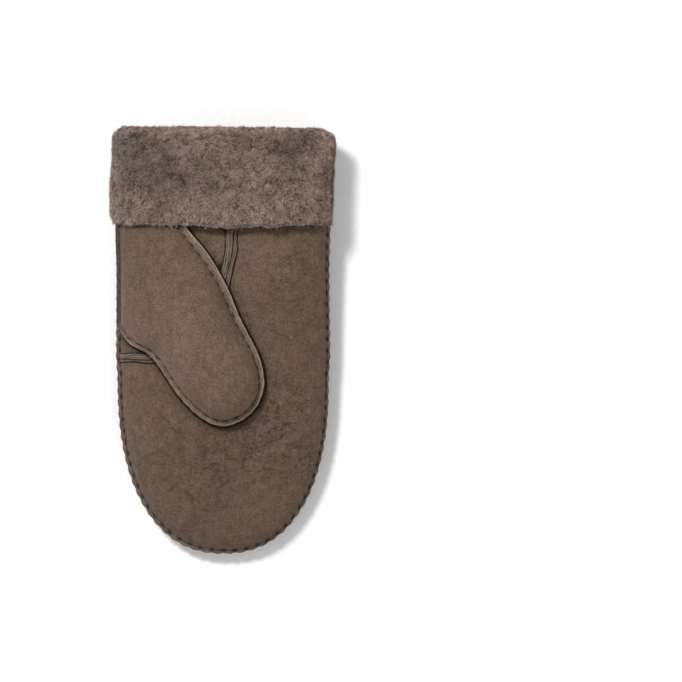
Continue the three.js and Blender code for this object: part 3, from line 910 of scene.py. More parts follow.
# %% Wool material
def wool_material():
    """Dark at the root of a strand, pale at its tip, and toned by what each strand carries."""
    material = new_material("Sheared lamb's wool, dyed")
    tree = material.node_tree
    place = object_place(tree)
    locks = spotted(tree, place, 2.2, 4, 0.3, 0.7)
    clouds = spotted(tree, place, 16, 3, 0.32, 0.68, to=(0.86, 1.1))
    roots = blended(tree, locks, colour("#412f26"), colour("#5e493d"))
    tips = ranged(tree, attribute(tree, "along"), 0.12, 0.85)
    body = blended(tree, tips, roots, colour("#af9b90"))
    own_shade = ranged(tree, attribute(tree, "shade"), 0, 1, 0.12, 1.85)
    toned = ranged(tree, attribute(tree, "tone"), 0, 1, 0.5, 1.5)
    inputs = {
        "Base Color": brightened(tree, body, own_shade, clouds, toned),
        "Normal": bumped(tree, locks, 0.6, 0.5),
        "Roughness": 0.9,
        "IOR": 1.55,
        "Specular IOR Level": 0.15,
        "Sheen Weight": 0.3,
        "Sheen Roughness": 0.4,
        "Sheen Tint": colour("#c9bbb0"),
    }
    return shaded(material, inputs)


wool = wool_material()
print("made", wool.name, "with", len(wool.node_tree.nodes), "nodes")

# %% [markdown]
# Waxed thread.
# A bonded polyester thread of half a millimetre or a little more, dyed darker than the suede
# and drawn through wax. The twist of its plies is a fine wave along it, and the wax gives it
# the only faint gloss on the mitten.


# %% Thread material
def thread_material():
    """Dark twisted thread with a faint gloss."""
    material = new_material("Waxed polyester thread")
    tree = material.node_tree
    plies = spotted(tree, object_place(tree), 0.5, 2, 0.35, 0.65)
    inputs = {
        "Base Color": blended(tree, plies, colour("#1e1611"), colour("#33281f")),
        "Normal": bumped(tree, plies, 0.5, 0.1),
        "Roughness": 0.6,
        "IOR": 1.5,
        "Specular IOR Level": 0.35,
    }
    return shaded(material, inputs)


thread = thread_material()
hide = [suede, wool, cut_edge]
print("a panel of hide has", len(hide), "materials:", [part.name for part in hide])


# %% [markdown]
# Cutting the panels.
# A glove maker lays a pattern on the hide and cuts along it. Here the pattern is an upright
# prism, and the Boolean modifier cuts the whole palm with it. Its Manifold solver is the fast
# one, and it asks for closed meshes, which is why the sheets were closed so carefully.


# %% Prisms and booleans
def prism(name, outline):
    """An upright block over a flat outline, which may be given either way round."""
    points = np.asarray(outline, float)
    x, y = points.T
    area = np.sum(x * np.roll(y, -1) - np.roll(x, -1) * y)
    if area < 0:
        points = points[::-1]
    count = len(points)
    low = np.column_stack([points, np.full(count, -FAR)])
    high = np.column_stack([points, np.full(count, FAR)])
    faces = [list(range(count))[::-1], list(range(count, 2 * count))]
    for i in range(count):
        after = (i + 1) % count
        faces.append([i, after, count + after, count + i])
    mesh = bpy.data.meshes.new(name)
    mesh.from_pydata((np.vstack([low, high]) * MM).tolist(), [], faces)
    return linked(name, mesh)


def plain(obj):
    """Turns an object's evaluated mesh into its own mesh, without modifiers."""
    graph = bpy.context.evaluated_depsgraph_get()
    mesh = bpy.data.meshes.new_from_object(obj.evaluated_get(graph))
    obj.modifiers.clear()
    obj.data = mesh
    return obj


def cut(obj, tool, operation):
    """Cuts obj with the tool, and removes the tool."""
    modifier = obj.modifiers.new("cut", "BOOLEAN")
    modifier.operation = operation
    modifier.solver = "MANIFOLD"
    modifier.object = tool
    plain(obj)
    bpy.data.objects.remove(tool)
    return obj


def joined(name, pieces):
    """One object from several, which keeps their materials."""
    first = pieces[0]
    with bpy.context.temp_override(active_object=first, selected_editable_objects=pieces):
        bpy.ops.object.join()
    first.name = name
    first.data.name = name
    return first


# %% [markdown]
# The seam and the fold.
# The palm seam runs down from the wrist, round the root of the thumb and out to the side. The
# fold is where the leather turns from the palm up into the thumb.

# %% Cut lines
PALM_SEAM = [
    (8.6, BEYOND_FOLD),
    (7.3, 64),
    (5, 49),
    (3.2, 34),
    (1.8, 17),
    (-3, 1),
    (-14, -7.5),
    (-28, -11),
    (-42, -12),
    (-61, -11.3),
    (-FAR, -10),
]
THUMB_FOLD = [
    (-36.4, BEYOND_FOLD),
    (-28.6, 81),
    (-20, 65),
    (-12, 50),
    (-8.4, 34),
    (-10.5, 17),
    (-19, 5),
    (-34, -1),
    (-51, 1),
    (-63, 8),
    (-FAR, 12),
]
seam_line = smooth_line(PALM_SEAM, np.linspace(0, 1, 241))
fold_line = smooth_line(THUMB_FOLD, np.linspace(0, 1, 121))
WRIST_CORNER = [(-FAR, BEYOND_FOLD)]


def thumb_side(distance):
    """The thumb's side of the palm seam, which ends that distance before the seam."""
    return prism("thumb side", np.vstack([moved(seam_line, -distance), WRIST_CORNER]))


def root_area():
    """The area beyond the fold, where the leather is already part of the thumb."""
    return prism("root area", np.vstack([fold_line, WRIST_CORNER]))


print("palm seam:", len(seam_line), "points, fold:", len(fold_line), "points")


# %% [markdown]
# Back panel.
# The back of the hand is one plain panel. It lies on the floor, so its middle is flat, and its
# lip is the lower half of the side seam.

# %% Back panel
back_panel = hand_sheet(
    "back_of_hand",
    back_outer,
    back_inner,
    lambda x, y: waves(x, y, BACK_WAVE) - BACK_WAVE,
    False,
)
print(back_panel.name, len(back_panel.data.polygons), "faces")

# %% [markdown]
# Palm.
# The palm is the same kind of sheet, cut along the palm seam. A strip of raw edge stands up on
# each side of that seam, a wide one of the gusset and a narrow one of the palm. Each strip is a
# thin closed sheet of its own that follows the seam, uneven as it was cut, and gets thinner
# where it runs out to the side.


# %% The raw edges of the palm seam
RIDGE_END_Y = 84  # under the cuff, where it is out of sight
RIDGE_END_X = 61  # at the side seam
RIDGE_STEP = 0.5
RIDGE_COLUMNS = 17
RIDGE_DEPTH = 0.8  # how far the strip goes down into the palm
RIDGE_FOLDS = 0.42  # height of its lengthwise folds
RIDGE_PULLED = 0.12  # how much lower it is at a stitch
RIDGE_TONE = 0.47
# how far it bends aside, at which y, and over which length
RIDGE_BENDS = [(0.9, 50, 7), (-0.7, 34, 6)]


def ridge_path():
    """The palm seam as far as its edges stand up, in even steps."""
    inside = (seam_line[:, 1] < RIDGE_END_Y) & (np.abs(seam_line[:, 0]) < RIDGE_END_X)
    path = seam_line[inside]
    distance = distance_along(path)
    run = np.arange(0, distance[-1], RIDGE_STEP)
    return run, resampled(path, distance, run)


ridge_run, ridge_line = ridge_path()
ragged = 0.4 * np.sin(ridge_run * 0.17 + 1) + 0.2 * np.sin(ridge_run * 0.39 + 2)
ragged = ragged + 0.07 * np.sin(ridge_run * 1.3)
ridge_bend = np.zeros(len(ridge_run))
for bend, centre_y, length in RIDGE_BENDS:
    ridge_bend += bend * np.exp(-(((ridge_line[:, 1] - centre_y) / length) ** 2))
ridge_thin = 1 - 0.3 * smoothstep(-ridge_line[:, 0], 12, 34)


def ridge_side(offset, raggedness):
    """A line beside the palm seam, to its left, with that much of the uneven cut."""
    return moved(ridge_line, offset * ridge_thin + ridge_bend + ragged * raggedness)


print("raw edges of the palm seam:", round(ridge_run[-1]), "mm long")


# %% A strip of raw edge
def ridge_heights(across, run, width):
    """How high each point of a strip is, from 0 to 1, and its lengthwise folds."""
    profile = (1 - np.abs(2 * across - 1) ** 4) ** 0.55
    turns = 15 * min(1, width / 3)
    streak = np.sin(across * turns + 1.3 * np.sin(run * 0.19) + 0.8 * np.sin(run * 0.5))
    streak = streak + 0.3 * np.sin(run * 0.7 + across * 4) * np.cos(across * 9)
    return profile, streak


def ridge_strip(name, near, far, crown, brightness):
    """The raw edge that stands up along the palm seam, between two distances from it."""
    across = np.linspace(0, 1, RIDGE_COLUMNS)
    lines = [ridge_side(mix(near, far, step), step) for step in across]
    grid = np.stack(lines, axis=1)
    x = grid[..., 0]
    y = grid[..., 1]
    run = ridge_run[:, None]
    profile, streak = ridge_heights(across, run, abs(far - near))
    fade = 1 - smoothstep(y, CUFF_EDGE_Y, RIDGE_END_Y)
    fade = fade * (1 - 0.6 * smoothstep(np.abs(x), RIDGE_END_X - 4, RIDGE_END_X))
    rise = crown * profile * (1 - RIDGE_PULLED * rhythm(run)) + RIDGE_FOLDS * streak * profile
    top = palm_outer(x, y) + rise * fade
    bottom = palm_outer(x, y) - RIDGE_DEPTH
    points = np.vstack([flat_list(x, y, top), flat_list(x, y, bottom)])
    faces, kinds = sheet_faces(len(ridge_run), len(across), False)
    if far < near:
        faces = faces[:, ::-1]
    pale = mix(0.45, 1, ridge_thin[:, None]) * brightness
    attributes = {
        # the raw edge is paler; the crests of its folds get a painted highlight, and the sides of
        # the strip and the troughs of its folds get painted shade
        "edge": np.clip(pale + 0.25 * streak * profile, 0, 0.9),
        "groove": np.clip(0.8 * np.abs(2 * across - 1) ** 3 - 0.4 * streak, 0, 1),
        "tone": np.full(x.shape, RIDGE_TONE),
        "wear": np.zeros(x.shape),
        "run": np.broadcast_to(run, x.shape),
        "across": np.broadcast_to(across * abs(far - near), x.shape),
        "beside": np.zeros(x.shape),
    }
    attributes = on_both_faces(attributes)
    return make_object(name, points, faces, attributes, [suede], kinds * 0)


# %% Palm of the fingers
palm_faces = (palm_outer, palm_inner, palm_relief, True, palm_tone, PALM_WEAR)
palm = hand_sheet("palm_of_hand", *palm_faces)
cut(palm, thumb_side(-GAP / 2), "DIFFERENCE")
palm_edge = ridge_strip("palm_edge", GAP / 2, GAP / 2 + RIDGE_NARROW, RIDGE, 0.75)
print(palm.name, len(palm.data.polygons), "faces")

# %% [markdown]
# The outline of the thumb.
# The thumb is the only panel whose two sides aren't alike, so its two edges are drawn as
# curves, and its rows run from one to the other. Down to the root its left edge is the side seam.

# %% Grid of the thumb
THUMB_ROOT = [(-36.4, PANEL_TOP_Y), (-29.4, 81), (-20.7, 65), (-9, 50.5), (-3, 41.5)]
MIDDLE_LEFT = [
    (-62, 7.4),
    (-53.8, -2.5),
    (-43.9, -8),
    (-39, -12.6),
    (-32.9, -21.7),
    (-28.4, -28.6),
]
MIDDLE_RIGHT = [(-3, 41.5), (3.6, 29), (10.2, 13.8), (16, 2.8), (21.8, -8.3), (24.3, -16)]
END_LEFT = [
    (-28.4, -28.6),
    (-25.3, -33.3),
    (-17.2, -42.6),
    (-9, -48.4),
    (-2.6, -50.8),
    (3.2, -51.1),
]
END_RIGHT = [(24.3, -16), (25.3, -26), (23, -35), (18.7, -42), (11.9, -47.6), (3.2, -51.1)]
ROOT_ROWS = 9  # the CAD part has these many rows in the three stretches of the thumb
MIDDLE_ROWS = 7
END_ROWS = 9
# row, lift of the left edge, lift of the right edge, height of the padding,
# width of the left lip, width of the right lip, how much the lips are gathered, how far the
# outer lip is trimmed back on the left and on the right
THUMB_ROWS = [
    (0, 0, 0, 0, 3, 3, 0, 0, 0),
    (3, 0, 0, 0, 3, 4.4, 0, 0, 0),
    (5, 0, 0.85, 2.5, 3, 4.7, 0.15, 0, 0),
    (8.4, 0, 1, 8.6, 3, 4.4, 0.2, 0.1, 0),
    (10.4, 0.9, 1, 12.2, 3.4, 4.2, 0.25, 0.3, 0),
    (12, 1, 1, 14, 3.6, 4.2, 0.3, 0.4, 0.3),
    (16, 1, 1, 15.5, 3.9, 4.2, 0.35, 0.7, 1),
    (20, 1.1, 1.1, 15.2, 4.6, 4, 0.45, 1.5, 1.1),
    (25, 1.15, 1.15, 15, 4.6, 4.6, 0.5, 1.3, 1.3),
]
LOWER_TRIM = 0.6  # the lower lip is trimmed by only this share of that, so it shows
# x, y, radius, how much lighter or darker the leather is there
THUMB_TONES = [
    (-8, -12, 34, 0.13),
    (8, -36, 16, 0.03),
    (-24, 30, 40, 0.04),
    (-50, 50, 16, -0.04),
    (-38, 44, 12, -0.06),
    (14, 12, 10, -0.03),
]
# x, y, radius, how strongly the leather is creased there
THUMB_WEAR = [(-42, 34, 14, 0.4), (-10, 14, 16, 0.15)]
ROOT_FINE = 50  # rows of the fine piece in the same three stretches
MIDDLE_FINE = 56
END_FINE = 52


def thumb_edges():
    """Both edges, finely, with the CAD part's row number at each point."""
    root = np.linspace(0, 1, ROOT_FINE)
    middle = np.linspace(0, 1, MIDDLE_FINE + 1)[1:]
    end = np.linspace(0, 1, END_FINE + 1)[1:]
    root_y = mix(PANEL_TOP_Y, MIDDLE_LEFT[0][1], root)
    root_left = np.stack([-read(SECTIONS, root_y)[0], root_y], axis=-1)
    left = [root_left, smooth_line(MIDDLE_LEFT, middle), smooth_line(END_LEFT, end)]
    right = [
        smooth_line(THUMB_ROOT, root),
        smooth_line(MIDDLE_RIGHT, middle),
        smooth_line(END_RIGHT, end),
    ]
    numbers = [root * ROOT_ROWS, ROOT_ROWS + middle * MIDDLE_ROWS]
    numbers.append(ROOT_ROWS + MIDDLE_ROWS + end * END_ROWS)
    return np.vstack(left), np.vstack(right), np.concatenate(numbers)


left_edge, right_edge, thumb_row = thumb_edges()
last_centre = ROOT_FINE + MIDDLE_FINE - 1
centre_row = np.minimum(np.arange(len(left_edge)), last_centre)
thumb_middle = (left_edge[centre_row] + right_edge[centre_row]) / 2
left_run = seam_distance(left_edge)
right_run = seam_distance(right_edge)
left_beat = rhythm(left_run)
right_beat = rhythm(right_run)
print("thumb grid:", len(left_edge), "rows")


# %% [markdown]
# A sheet over the thumb.
# Its faces are heights above the palm: the raw edges are lifted off it, and the middle is
# padded out by the thumb inside. The lips are about 4 mm wide, and the sewing gathers them more
# and more towards the tip. There both are trimmed back, the upper one further, so that the
# lower one shows beside it as a second line.


# %% Grid points of the thumb
GATHERED_OUT = 0.6  # how much of a lip's bulging the thumb has
GATHERED_DARK = (0.1, 0.3)  # painted shade in the stitch line everywhere, and more at a stitch
TUCKED_DARK = 0.5  # the painted shade of the stitch line where the lip is tucked under
STITCH_DARK = 0.5  # how far from the stitches that painted shade reaches


def thumb_grid(inset, grow, trimmed=0):
    """Every point of the thumb's grid, and what its faces need to know about it."""
    is_left = side < 0
    ends = np.where(is_left[None, :, None], left_edge[:, None], right_edge[:, None])
    way = ends - thumb_middle[:, None]
    half = np.linalg.norm(way, axis=-1)
    way = way / half[..., None]
    beat = np.where(is_left[None, :], left_beat[:, None], right_beat[:, None])
    columns = read(THUMB_ROWS, thumb_row)
    left, right, plump, left_lip, right_lip, gathered, left_trim, right_trim = columns
    trim = trimmed * np.where(is_left[None, :], left_trim[:, None], right_trim[:, None])
    width = np.where(is_left[None, :], left_lip[:, None], right_lip[:, None])
    to_stitch = np.abs((1 - share) * half - (lip * width - STITCH_LINE) * (lip > 0))
    out, wave, pulled = lip_shape(beat, lip, to_stitch)
    out = GATHERED_OUT * out * gathered[:, None]
    wave = wave * gathered[:, None]
    reach = share * (half - width - inset) + lip * (width + inset - trim)
    reach = reach + out + grow * (lip == 1)
    points = thumb_middle[:, None] + way * reach[..., None]
    run = np.where(is_left[None, :], -left_run[:, None], right_run[:, None])
    signed = (side * share + 1) / 2
    lifted = mix(left[:, None], right[:, None], signed)
    free = smoothstep(lifted, 0.1, 0.9)
    everywhere, at_stitch = GATHERED_DARK
    dark = mix(TUCKED_DARK, everywhere + at_stitch * beat, free)
    return {
        "x": points[..., 0],
        "y": points[..., 1],
        "lifted": lifted,
        "free": free,
        "plump": plump[:, None],
        "bulge": np.broadcast_to(palm_bulge(share), lifted.shape),
        "wave": wave * free,
        "pulled": pulled * free,
        # painted shade along the stitch line
        "groove": dark * np.exp(-((to_stitch / STITCH_DARK) ** 2)),
        "tucked": (1 - free) * lip * is_left,
        "calm": smoothstep((1 - share) * half, 1, 7),
        "streaks": free * lip_streaks(lip, run),
        "run": run,
        "across": lip * width,
    }


# %% Faces of the thumb
def thumb_top(p):
    """Height of the leather on top of the thumb."""
    return palm_outer(p["x"], p["y"]) + p["lifted"] * THUMB_LIFT + p["plump"] * p["bulge"]


def thumb_under(p):
    """Height of the wool inside the same panel."""
    edge = np.minimum(1, p["lifted"]) * (1 - p["bulge"])
    face = mix(palm_inner(p["x"], p["y"]), palm_outer(p["x"], p["y"]) - SKIN, edge)
    return face + p["lifted"] * THUMB_LIFT + p["plump"] * p["bulge"]


def gusset_top(p):
    """Height of the wool on the thumb's underside, which is the gusset turned up."""
    edge = p["lifted"] * THUMB_LIFT - SKIN - GAP
    rise = mix(edge, THUMB_CLEAR + UNDER_HIDE, p["bulge"])
    return palm_outer(p["x"], p["y"]) + rise


def gusset_under(p):
    """Height of its leather, which lies on the palm."""
    edge = p["lifted"] * THUMB_LIFT - 2 * SKIN - GAP
    rise = np.minimum(mix(edge, THUMB_CLEAR, p["bulge"]), THUMB_REST)
    return np.maximum(palm_outer(p["x"], p["y"]) + rise, palm_inner(p["x"], p["y"]))


TUCKED_TONE = 0.42  # how much darker the lip is, as painted shade, where it is tucked under
LEFT_PALE = 0.92  # how pale the left lip is and how strong the painted highlight on its outer edge, beside 1 for the right one


def thumb_sheet(name, top, bottom, top_is_leather):
    """A sheet over the thumb from the two height functions."""
    trimmed = 1 if top_is_leather else LOWER_TRIM
    outer = thumb_grid(0, 0, trimmed)
    inner = thumb_grid(HIDE, 0, trimmed)
    above, below = (outer, inner) if top_is_leather else (inner, outer)
    top_z = top(above) + above["wave"]
    bottom_z = bottom(below) + below["wave"]
    if top_is_leather:
        soft = waves(above["x"] + 40, above["y"], THUMB_WAVE) * above["calm"]
        top_z = top_z - above["pulled"] + soft + 0.2 * above["streaks"]
    high = flat_list(above["x"], above["y"], top_z)
    low = flat_list(below["x"], below["y"], bottom_z)
    faces, kinds = sheet_faces(len(left_edge), len(share), True)
    wool_kind = 1 if top_is_leather else 0
    clouds = patches_of(outer["x"], outer["y"], THUMB_TONES)
    attributes = {
        "edge": lip * np.where(side > 0, 1, LEFT_PALE) * mix(0.3, 1, outer["free"]),
        "tone": 0.5 + clouds - TUCKED_TONE * outer["tucked"],
        "wear": patches_of(outer["x"], outer["y"], THUMB_WEAR),
        "beside": 0 * top_z,
    }
    attributes.update({key: outer[key] for key in ("groove", "run", "across")})
    attributes = on_both_faces(attributes)
    slots = material_slots(kinds, wool_kind)
    return make_object(name, np.vstack([high, low]), faces, attributes, hide, slots)


thumb = thumb_sheet("outer_thumb", thumb_top, thumb_under, True)
print(thumb.name, len(thumb.data.polygons), "faces")

# %% [markdown]
# Gusset.
# One piece of leather makes the palm beside the thumb, the fold at the thumb's root and the
# underside of the thumb. Each of the three is made on its own, and they are joined when the
# painted shadow lines beside them are made. The places where they meet lie under the thumb.


# %% Gusset
def above_thumb():
    """Everything above the underside of the outer thumb, with the gap to it."""
    grid = thumb_grid(0, GAP)
    low = thumb_under(grid) + grid["wave"] - GAP
    high = np.full(low.shape, float(FAR))
    points = [flat_list(grid["x"], grid["y"], z) for z in (high, low)]
    faces, _ = sheet_faces(len(left_edge), len(share), True)
    return make_object("above thumb", np.vstack(points), faces)


gusset_palm = hand_sheet("gusset_palm", *palm_faces)
cut(gusset_palm, thumb_side(GAP / 2), "INTERSECT")
cut(gusset_palm, root_area(), "DIFFERENCE")
under_thumb = thumb_sheet("under_thumb", gusset_top, gusset_under, False)
cut(under_thumb, root_area(), "DIFFERENCE")
fold = hand_sheet(
    "thumb_fold",
    lambda x, y: palm_outer(x, y) + THUMB_CLEAR + UNDER_HIDE,
    palm_inner,
    nothing,
    True,
)
fold_strip = np.vstack([fold_line, moved(fold_line, HIDE)[::-1]])
cut(fold, prism("fold strip", fold_strip), "INTERSECT")
cut(fold, thumb_side(GAP / 2), "INTERSECT")
thumb_outline = np.vstack([left_edge, right_edge[::-1][1:]])
cut(fold, prism("thumb area", thumb_outline), "INTERSECT")
WIDE_CROWN = 0.8  # the wide strip stands up this much of the ridge's height
gusset_far = -GAP / 2 - RIDGE_WIDE
gusset_edge = ridge_strip("gusset_edge", -GAP / 2, gusset_far, RIDGE * WIDE_CROWN, 0.85)
for part in (gusset_palm, under_thumb, fold):
    cut(part, above_thumb(), "DIFFERENCE")
    tidy(part)
    print(part.name, len(part.data.polygons), "faces")

# %% [markdown]
# The turned-back cuff.
# At the wrist the whole sleeve of hide is folded outwards, so the wool that lined it is now on
# the outside, and its leather lies against the panels. The body of the cuff is a ring whose
# wall is walked once round. It is drawn in a little from the CAD's wool face, and the strands
# of the next step fill that space and end at the face.

# %% Tables of the cuff
# y, left, right, underside, top
CUFF_RINGS = [
    (CUFF_EDGE_Y, -65.2, 63.6, 0.6, 50.6),
    (70, -66, 64.2, 0, 51.6),
    (88, -66, 64.6, 0, 51),
    (104, -64.8, 65.6, 0, 49.4),
    (114, -64.6, 66, 0, 48),
    (119, -64.3, 65.3, 0.3, 46.6),
    (FOLD_Y, -62.2, 61.2, 2, 44),
]
CUFF_LEAN = 1.4  # how much lower the fold is on the right than on the left
CUFF_WAVE = 1.2  # how much lower the edge hangs in its middle
TUFT = 0.8  # how far the locks make the wool face uneven
RING_POWER = 2.6  # how square the cuff is, seen along the arm
RING_SAG = 1.1  # over 1, so that it lies flat on the floor
CUFF_CLEAR = 0.5  # air between the cuff and the panels
EDGE_CLEAR = 0.7  # the same at the cuff's edge on the palm
EASED_Y = 92  # up to here the edge's own shape is felt
# how far the edge is held off the palm, where across, and how far to each side
HELD_OFF = [(5.2, -27, 38), (RIDGE, 8, 16)]
# x, width, how much lower the edge hangs there
EDGE_LUMPS = [
    (-64, 6, -1.8),
    (-50, 8, 0.5),
    (-16, 9, -0.9),
    (4, 6, 0.8),
    (29, 4, 1.4),
    (44, 12, 0.4),
    (61, 8, 0.8),
]
LOCKS_ROUND = 13  # uneven places round the cuff
LOCKS_WAVELENGTH = 26  # and their length along the hand
PILE = 2.2  # how far the body of the cuff lies below its wool face
# y, layer: 0 the mouth's inner face, 1 the face against the panels, 2 the outer wool
CUFF_WALL = [
    (CUFF_EDGE_Y + 1.6, 1),
    (CUFF_EDGE_Y, 1.35),
    (CUFF_EDGE_Y + 0.4, 1.75),
    (CUFF_EDGE_Y + 3.5, 2),
    (78, 2),
    (92, 2),
    (106, 2),
    (114, 2),
    (119, 1.88),
    (122.6, 1.6),
    (124.5, 1.25),
    (FOLD_Y, 0.9),
    (123.4, 0.4),
    (119, 0.06),
    (PANEL_TOP_Y + GAP, 0),
    (PANEL_TOP_Y + GAP, 1),
    (98, 1),
    (84, 1),
]


# %% The ring
def hump(x, height, centre, reach):
    """A soft hump that ends at its reach."""
    away = np.minimum(1, np.abs(x - centre) / reach)
    return height * (1 - away * away) ** 2


def held_off(x):
    """How far the cuff's edge is held off the palm, by the thumb and by the seam."""
    return sum((hump(x, *row) for row in HELD_OFF), EDGE_CLEAR)


def edge_drop(x):
    """How far the cuff's lower edge hangs below its straight line."""
    total = CUFF_WAVE * np.cos(np.pi * x / CUFF_RINGS[0][2])
    for place, width, drop in EDGE_LUMPS:
        total = total + drop * np.exp(-(((x - place) / width) ** 2))
    return total


def tuft(angle, y):
    """How far the locks of wool swell the face of the cuff."""
    along = 2 * np.pi * y / LOCKS_WAVELENGTH
    return TUFT * np.sin(LOCKS_ROUND * angle + 2 * np.sin(along / 2)) * np.sin(along + angle)


def ring(angle, left, right, low, high, lifted, swell, middle):
    """Across and up at an angle round the arm: a squarish ring, flattened where it lies."""
    power = 2 / RING_POWER
    rise = np.sign(np.sin(angle)) * np.abs(np.sin(angle)) ** power
    across = np.sign(np.cos(angle)) * np.abs(np.cos(angle)) ** power
    x = (left + right + across * (right - left)) / 2
    top = high + lifted * held_off(x) + swell
    reach = np.where(rise > 0, top - middle, RING_SAG * (middle - low))
    return x, np.maximum(low, middle + rise * reach)


def cuff_points(angle, y, layer, inset):
    """Points of the cuff at those angles, places along the hand and layers of its wall."""
    hand_y = np.minimum(y, PANEL_TOP_Y)
    half, low, middle, high = read(SECTIONS, hand_y)
    inner = half - LIP - HIDE
    outside = half + CUFF_CLEAR
    lifted = 1 - smoothstep(y, CUFF_EDGE_Y, EASED_Y)
    mouth = ring(angle, -inner, inner, low + HIDE, high - HIDE, 0, 0, middle)
    bottom = low - CUFF_CLEAR
    snug = ring(angle, -outside, outside, bottom, high + CUFF_CLEAR, lifted, 0, middle)
    left, right, floor_z, top = read(CUFF_RINGS, y)
    side_inset = inset * (1 - 0.7 * smoothstep(y, 114, 123))
    left = left + side_inset
    right = right - side_inset
    floor_z = floor_z + inset * 0.6
    outer = ring(angle, left, right, floor_z, top - inset, 0, tuft(angle, y), middle)
    first = np.where(layer < 1, mouth, snug)
    second = np.where(layer < 1, snug, outer)
    x, z = mix(first, second, np.where(layer < 1, layer, layer - 1))
    y = y - inset * smoothstep(y, 114, FOLD_Y)
    y = y + 0.5 * inset * (1 - smoothstep(y, CUFF_EDGE_Y, 71))
    lean = CUFF_LEAN * (x - CUFF_RINGS[0][1]) / (2 * CUFF_RINGS[0][2])
    place = y - lean * smoothstep(y, PANEL_TOP_Y + GAP, FOLD_Y)
    place = place - edge_drop(x) * (1 - smoothstep(y, CUFF_EDGE_Y, EASED_Y))
    return np.stack([x, place, z], axis=-1)


# %% Body of the cuff
RING_FINE = 200
WALL_FINE = 4  # points of the fine wall from one row of its table to the next
AGAINST_PANELS = 15  # from this row of the wall to the first one it shows leather
BARE_FOLD_Y = 122  # round here the strands are short, so the body itself has paler wool
wall = np.array(CUFF_WALL)
wall_closed = np.vstack([wall, wall[:1]])
knots = np.arange(len(wall_closed))
fine = np.linspace(0, len(wall), WALL_FINE * len(wall) + 1)[:-1]
wall_y = np.interp(fine, knots, wall_closed[:, 0])
wall_layer = np.interp(fine, knots, wall_closed[:, 1])
angles = np.linspace(0, 2 * np.pi, RING_FINE, endpoint=False)
body_points = cuff_points(
    angles[:, None], wall_y[None] + 0 * angles[:, None], wall_layer[None], PILE
)
count = len(fine)
i, j = np.meshgrid(np.arange(RING_FINE), np.arange(count), indexing="ij")
after_i = (i + 1) % RING_FINE
after_j = (j + 1) % count
corners = [i * count + j, i * count + after_j, after_i * count + after_j, after_i * count + j]
cuff_faces = np.stack(corners, axis=-1).reshape(-1, 4)
leather_side = (fine > AGAINST_PANELS) | (fine < 1)
cuff_slots = np.where(np.tile(leather_side, RING_FINE), 0, 1)
zeros = np.zeros(RING_FINE * count)
cuff_attributes = {key: zeros for key in ("edge", "groove", "wear", "run", "across")}
cuff_attributes.update({"beside": zeros, "shade": zeros + 0.5, "tone": zeros + 0.5})
at_fold = np.where(np.abs(wall_y - BARE_FOLD_Y) < 3, 0.6, 0.1)
cuff_attributes["along"] = np.tile(at_fold, RING_FINE)
body_points = body_points.reshape(-1, 3)
cuff = make_object(
    "turned_back_cuff", body_points, cuff_faces, cuff_attributes, hide, cuff_slots
)
print(cuff.name, len(cuff.data.polygons), "faces")

# %% [markdown]
# Painted shadow.
# Hardly any light gets in beside another piece, so the suede there is darkened as a painted
# shadow. This happens round the thumb, at the edge of the cuff and along the raw edges of the palm
# seam. The finished meshes get two attributes for it: a lower tone over a few millimetres, and
# the nearness to the line, from which the material draws a thin dark line of painted shadow.
# Nearness changes evenly from vertex to vertex, so that line can be finer than the mesh.


# %% Painted shadow lines
NEAR = 4  # millimetres at which the nearness has fallen to 0
# how far the painted shadow reaches as a lower tone, how much lower it is, how much wider its thin
# dark line is
SHADOW_BESIDE_THUMB = (3.4, 0.4, 0.55)
SHADOW_BESIDE_CUFF = (1.5, 0.12, 0)
SHADOW_BESIDE_RIDGE = (1, 0.1, 0)


def signed_distance(flat, line):
    """Distance from each point to a flat line, positive on the line's left."""
    away = np.full(len(flat), np.inf)
    sign = np.ones(len(flat))
    for start, end in zip(line[:-1], line[1:]):
        way = end - start
        gap = flat - start
        along = np.clip(gap @ way / (way @ way), 0, 1)
        distance = np.linalg.norm(gap - along[:, None] * way, axis=1)
        left = way[0] * gap[:, 1] - way[1] * gap[:, 0] > 0
        sign = np.where(distance < away, np.where(left, 1, -1), sign)
        away = np.minimum(away, distance)
    return away * sign


def paint_shadow_beside(obj, line, reach, change, wider):
    """Paints a shadow on a piece, on the left of a flat line, and says how near it the vertices
    are.
    """
    mesh = obj.data
    places = np.empty(len(mesh.vertices) * 3, np.float32)
    mesh.vertices.foreach_get("co", places)
    flat = places.reshape(-1, 3)[:, :2] / MM
    away = signed_distance(flat, line)
    shown = 1 - smoothstep(np.abs(flat[:, 0]), RIDGE_END_X - 2, RIDGE_END_X)
    tone = np.empty(len(away), np.float32)
    near = np.empty(len(away), np.float32)
    mesh.attributes["tone"].data.foreach_get("value", tone)
    mesh.attributes["beside"].data.foreach_get("value", near)
    tone -= change * shown * np.exp(-((np.maximum(away, 0) / reach) ** 2))
    nearness = shown * np.clip(1 - (away - wider) / NEAR, 0, 2)
    near = np.maximum(near, nearness).astype(np.float32)
    mesh.attributes["tone"].data.foreach_set("value", tone)
    mesh.attributes["beside"].data.foreach_set("value", near)


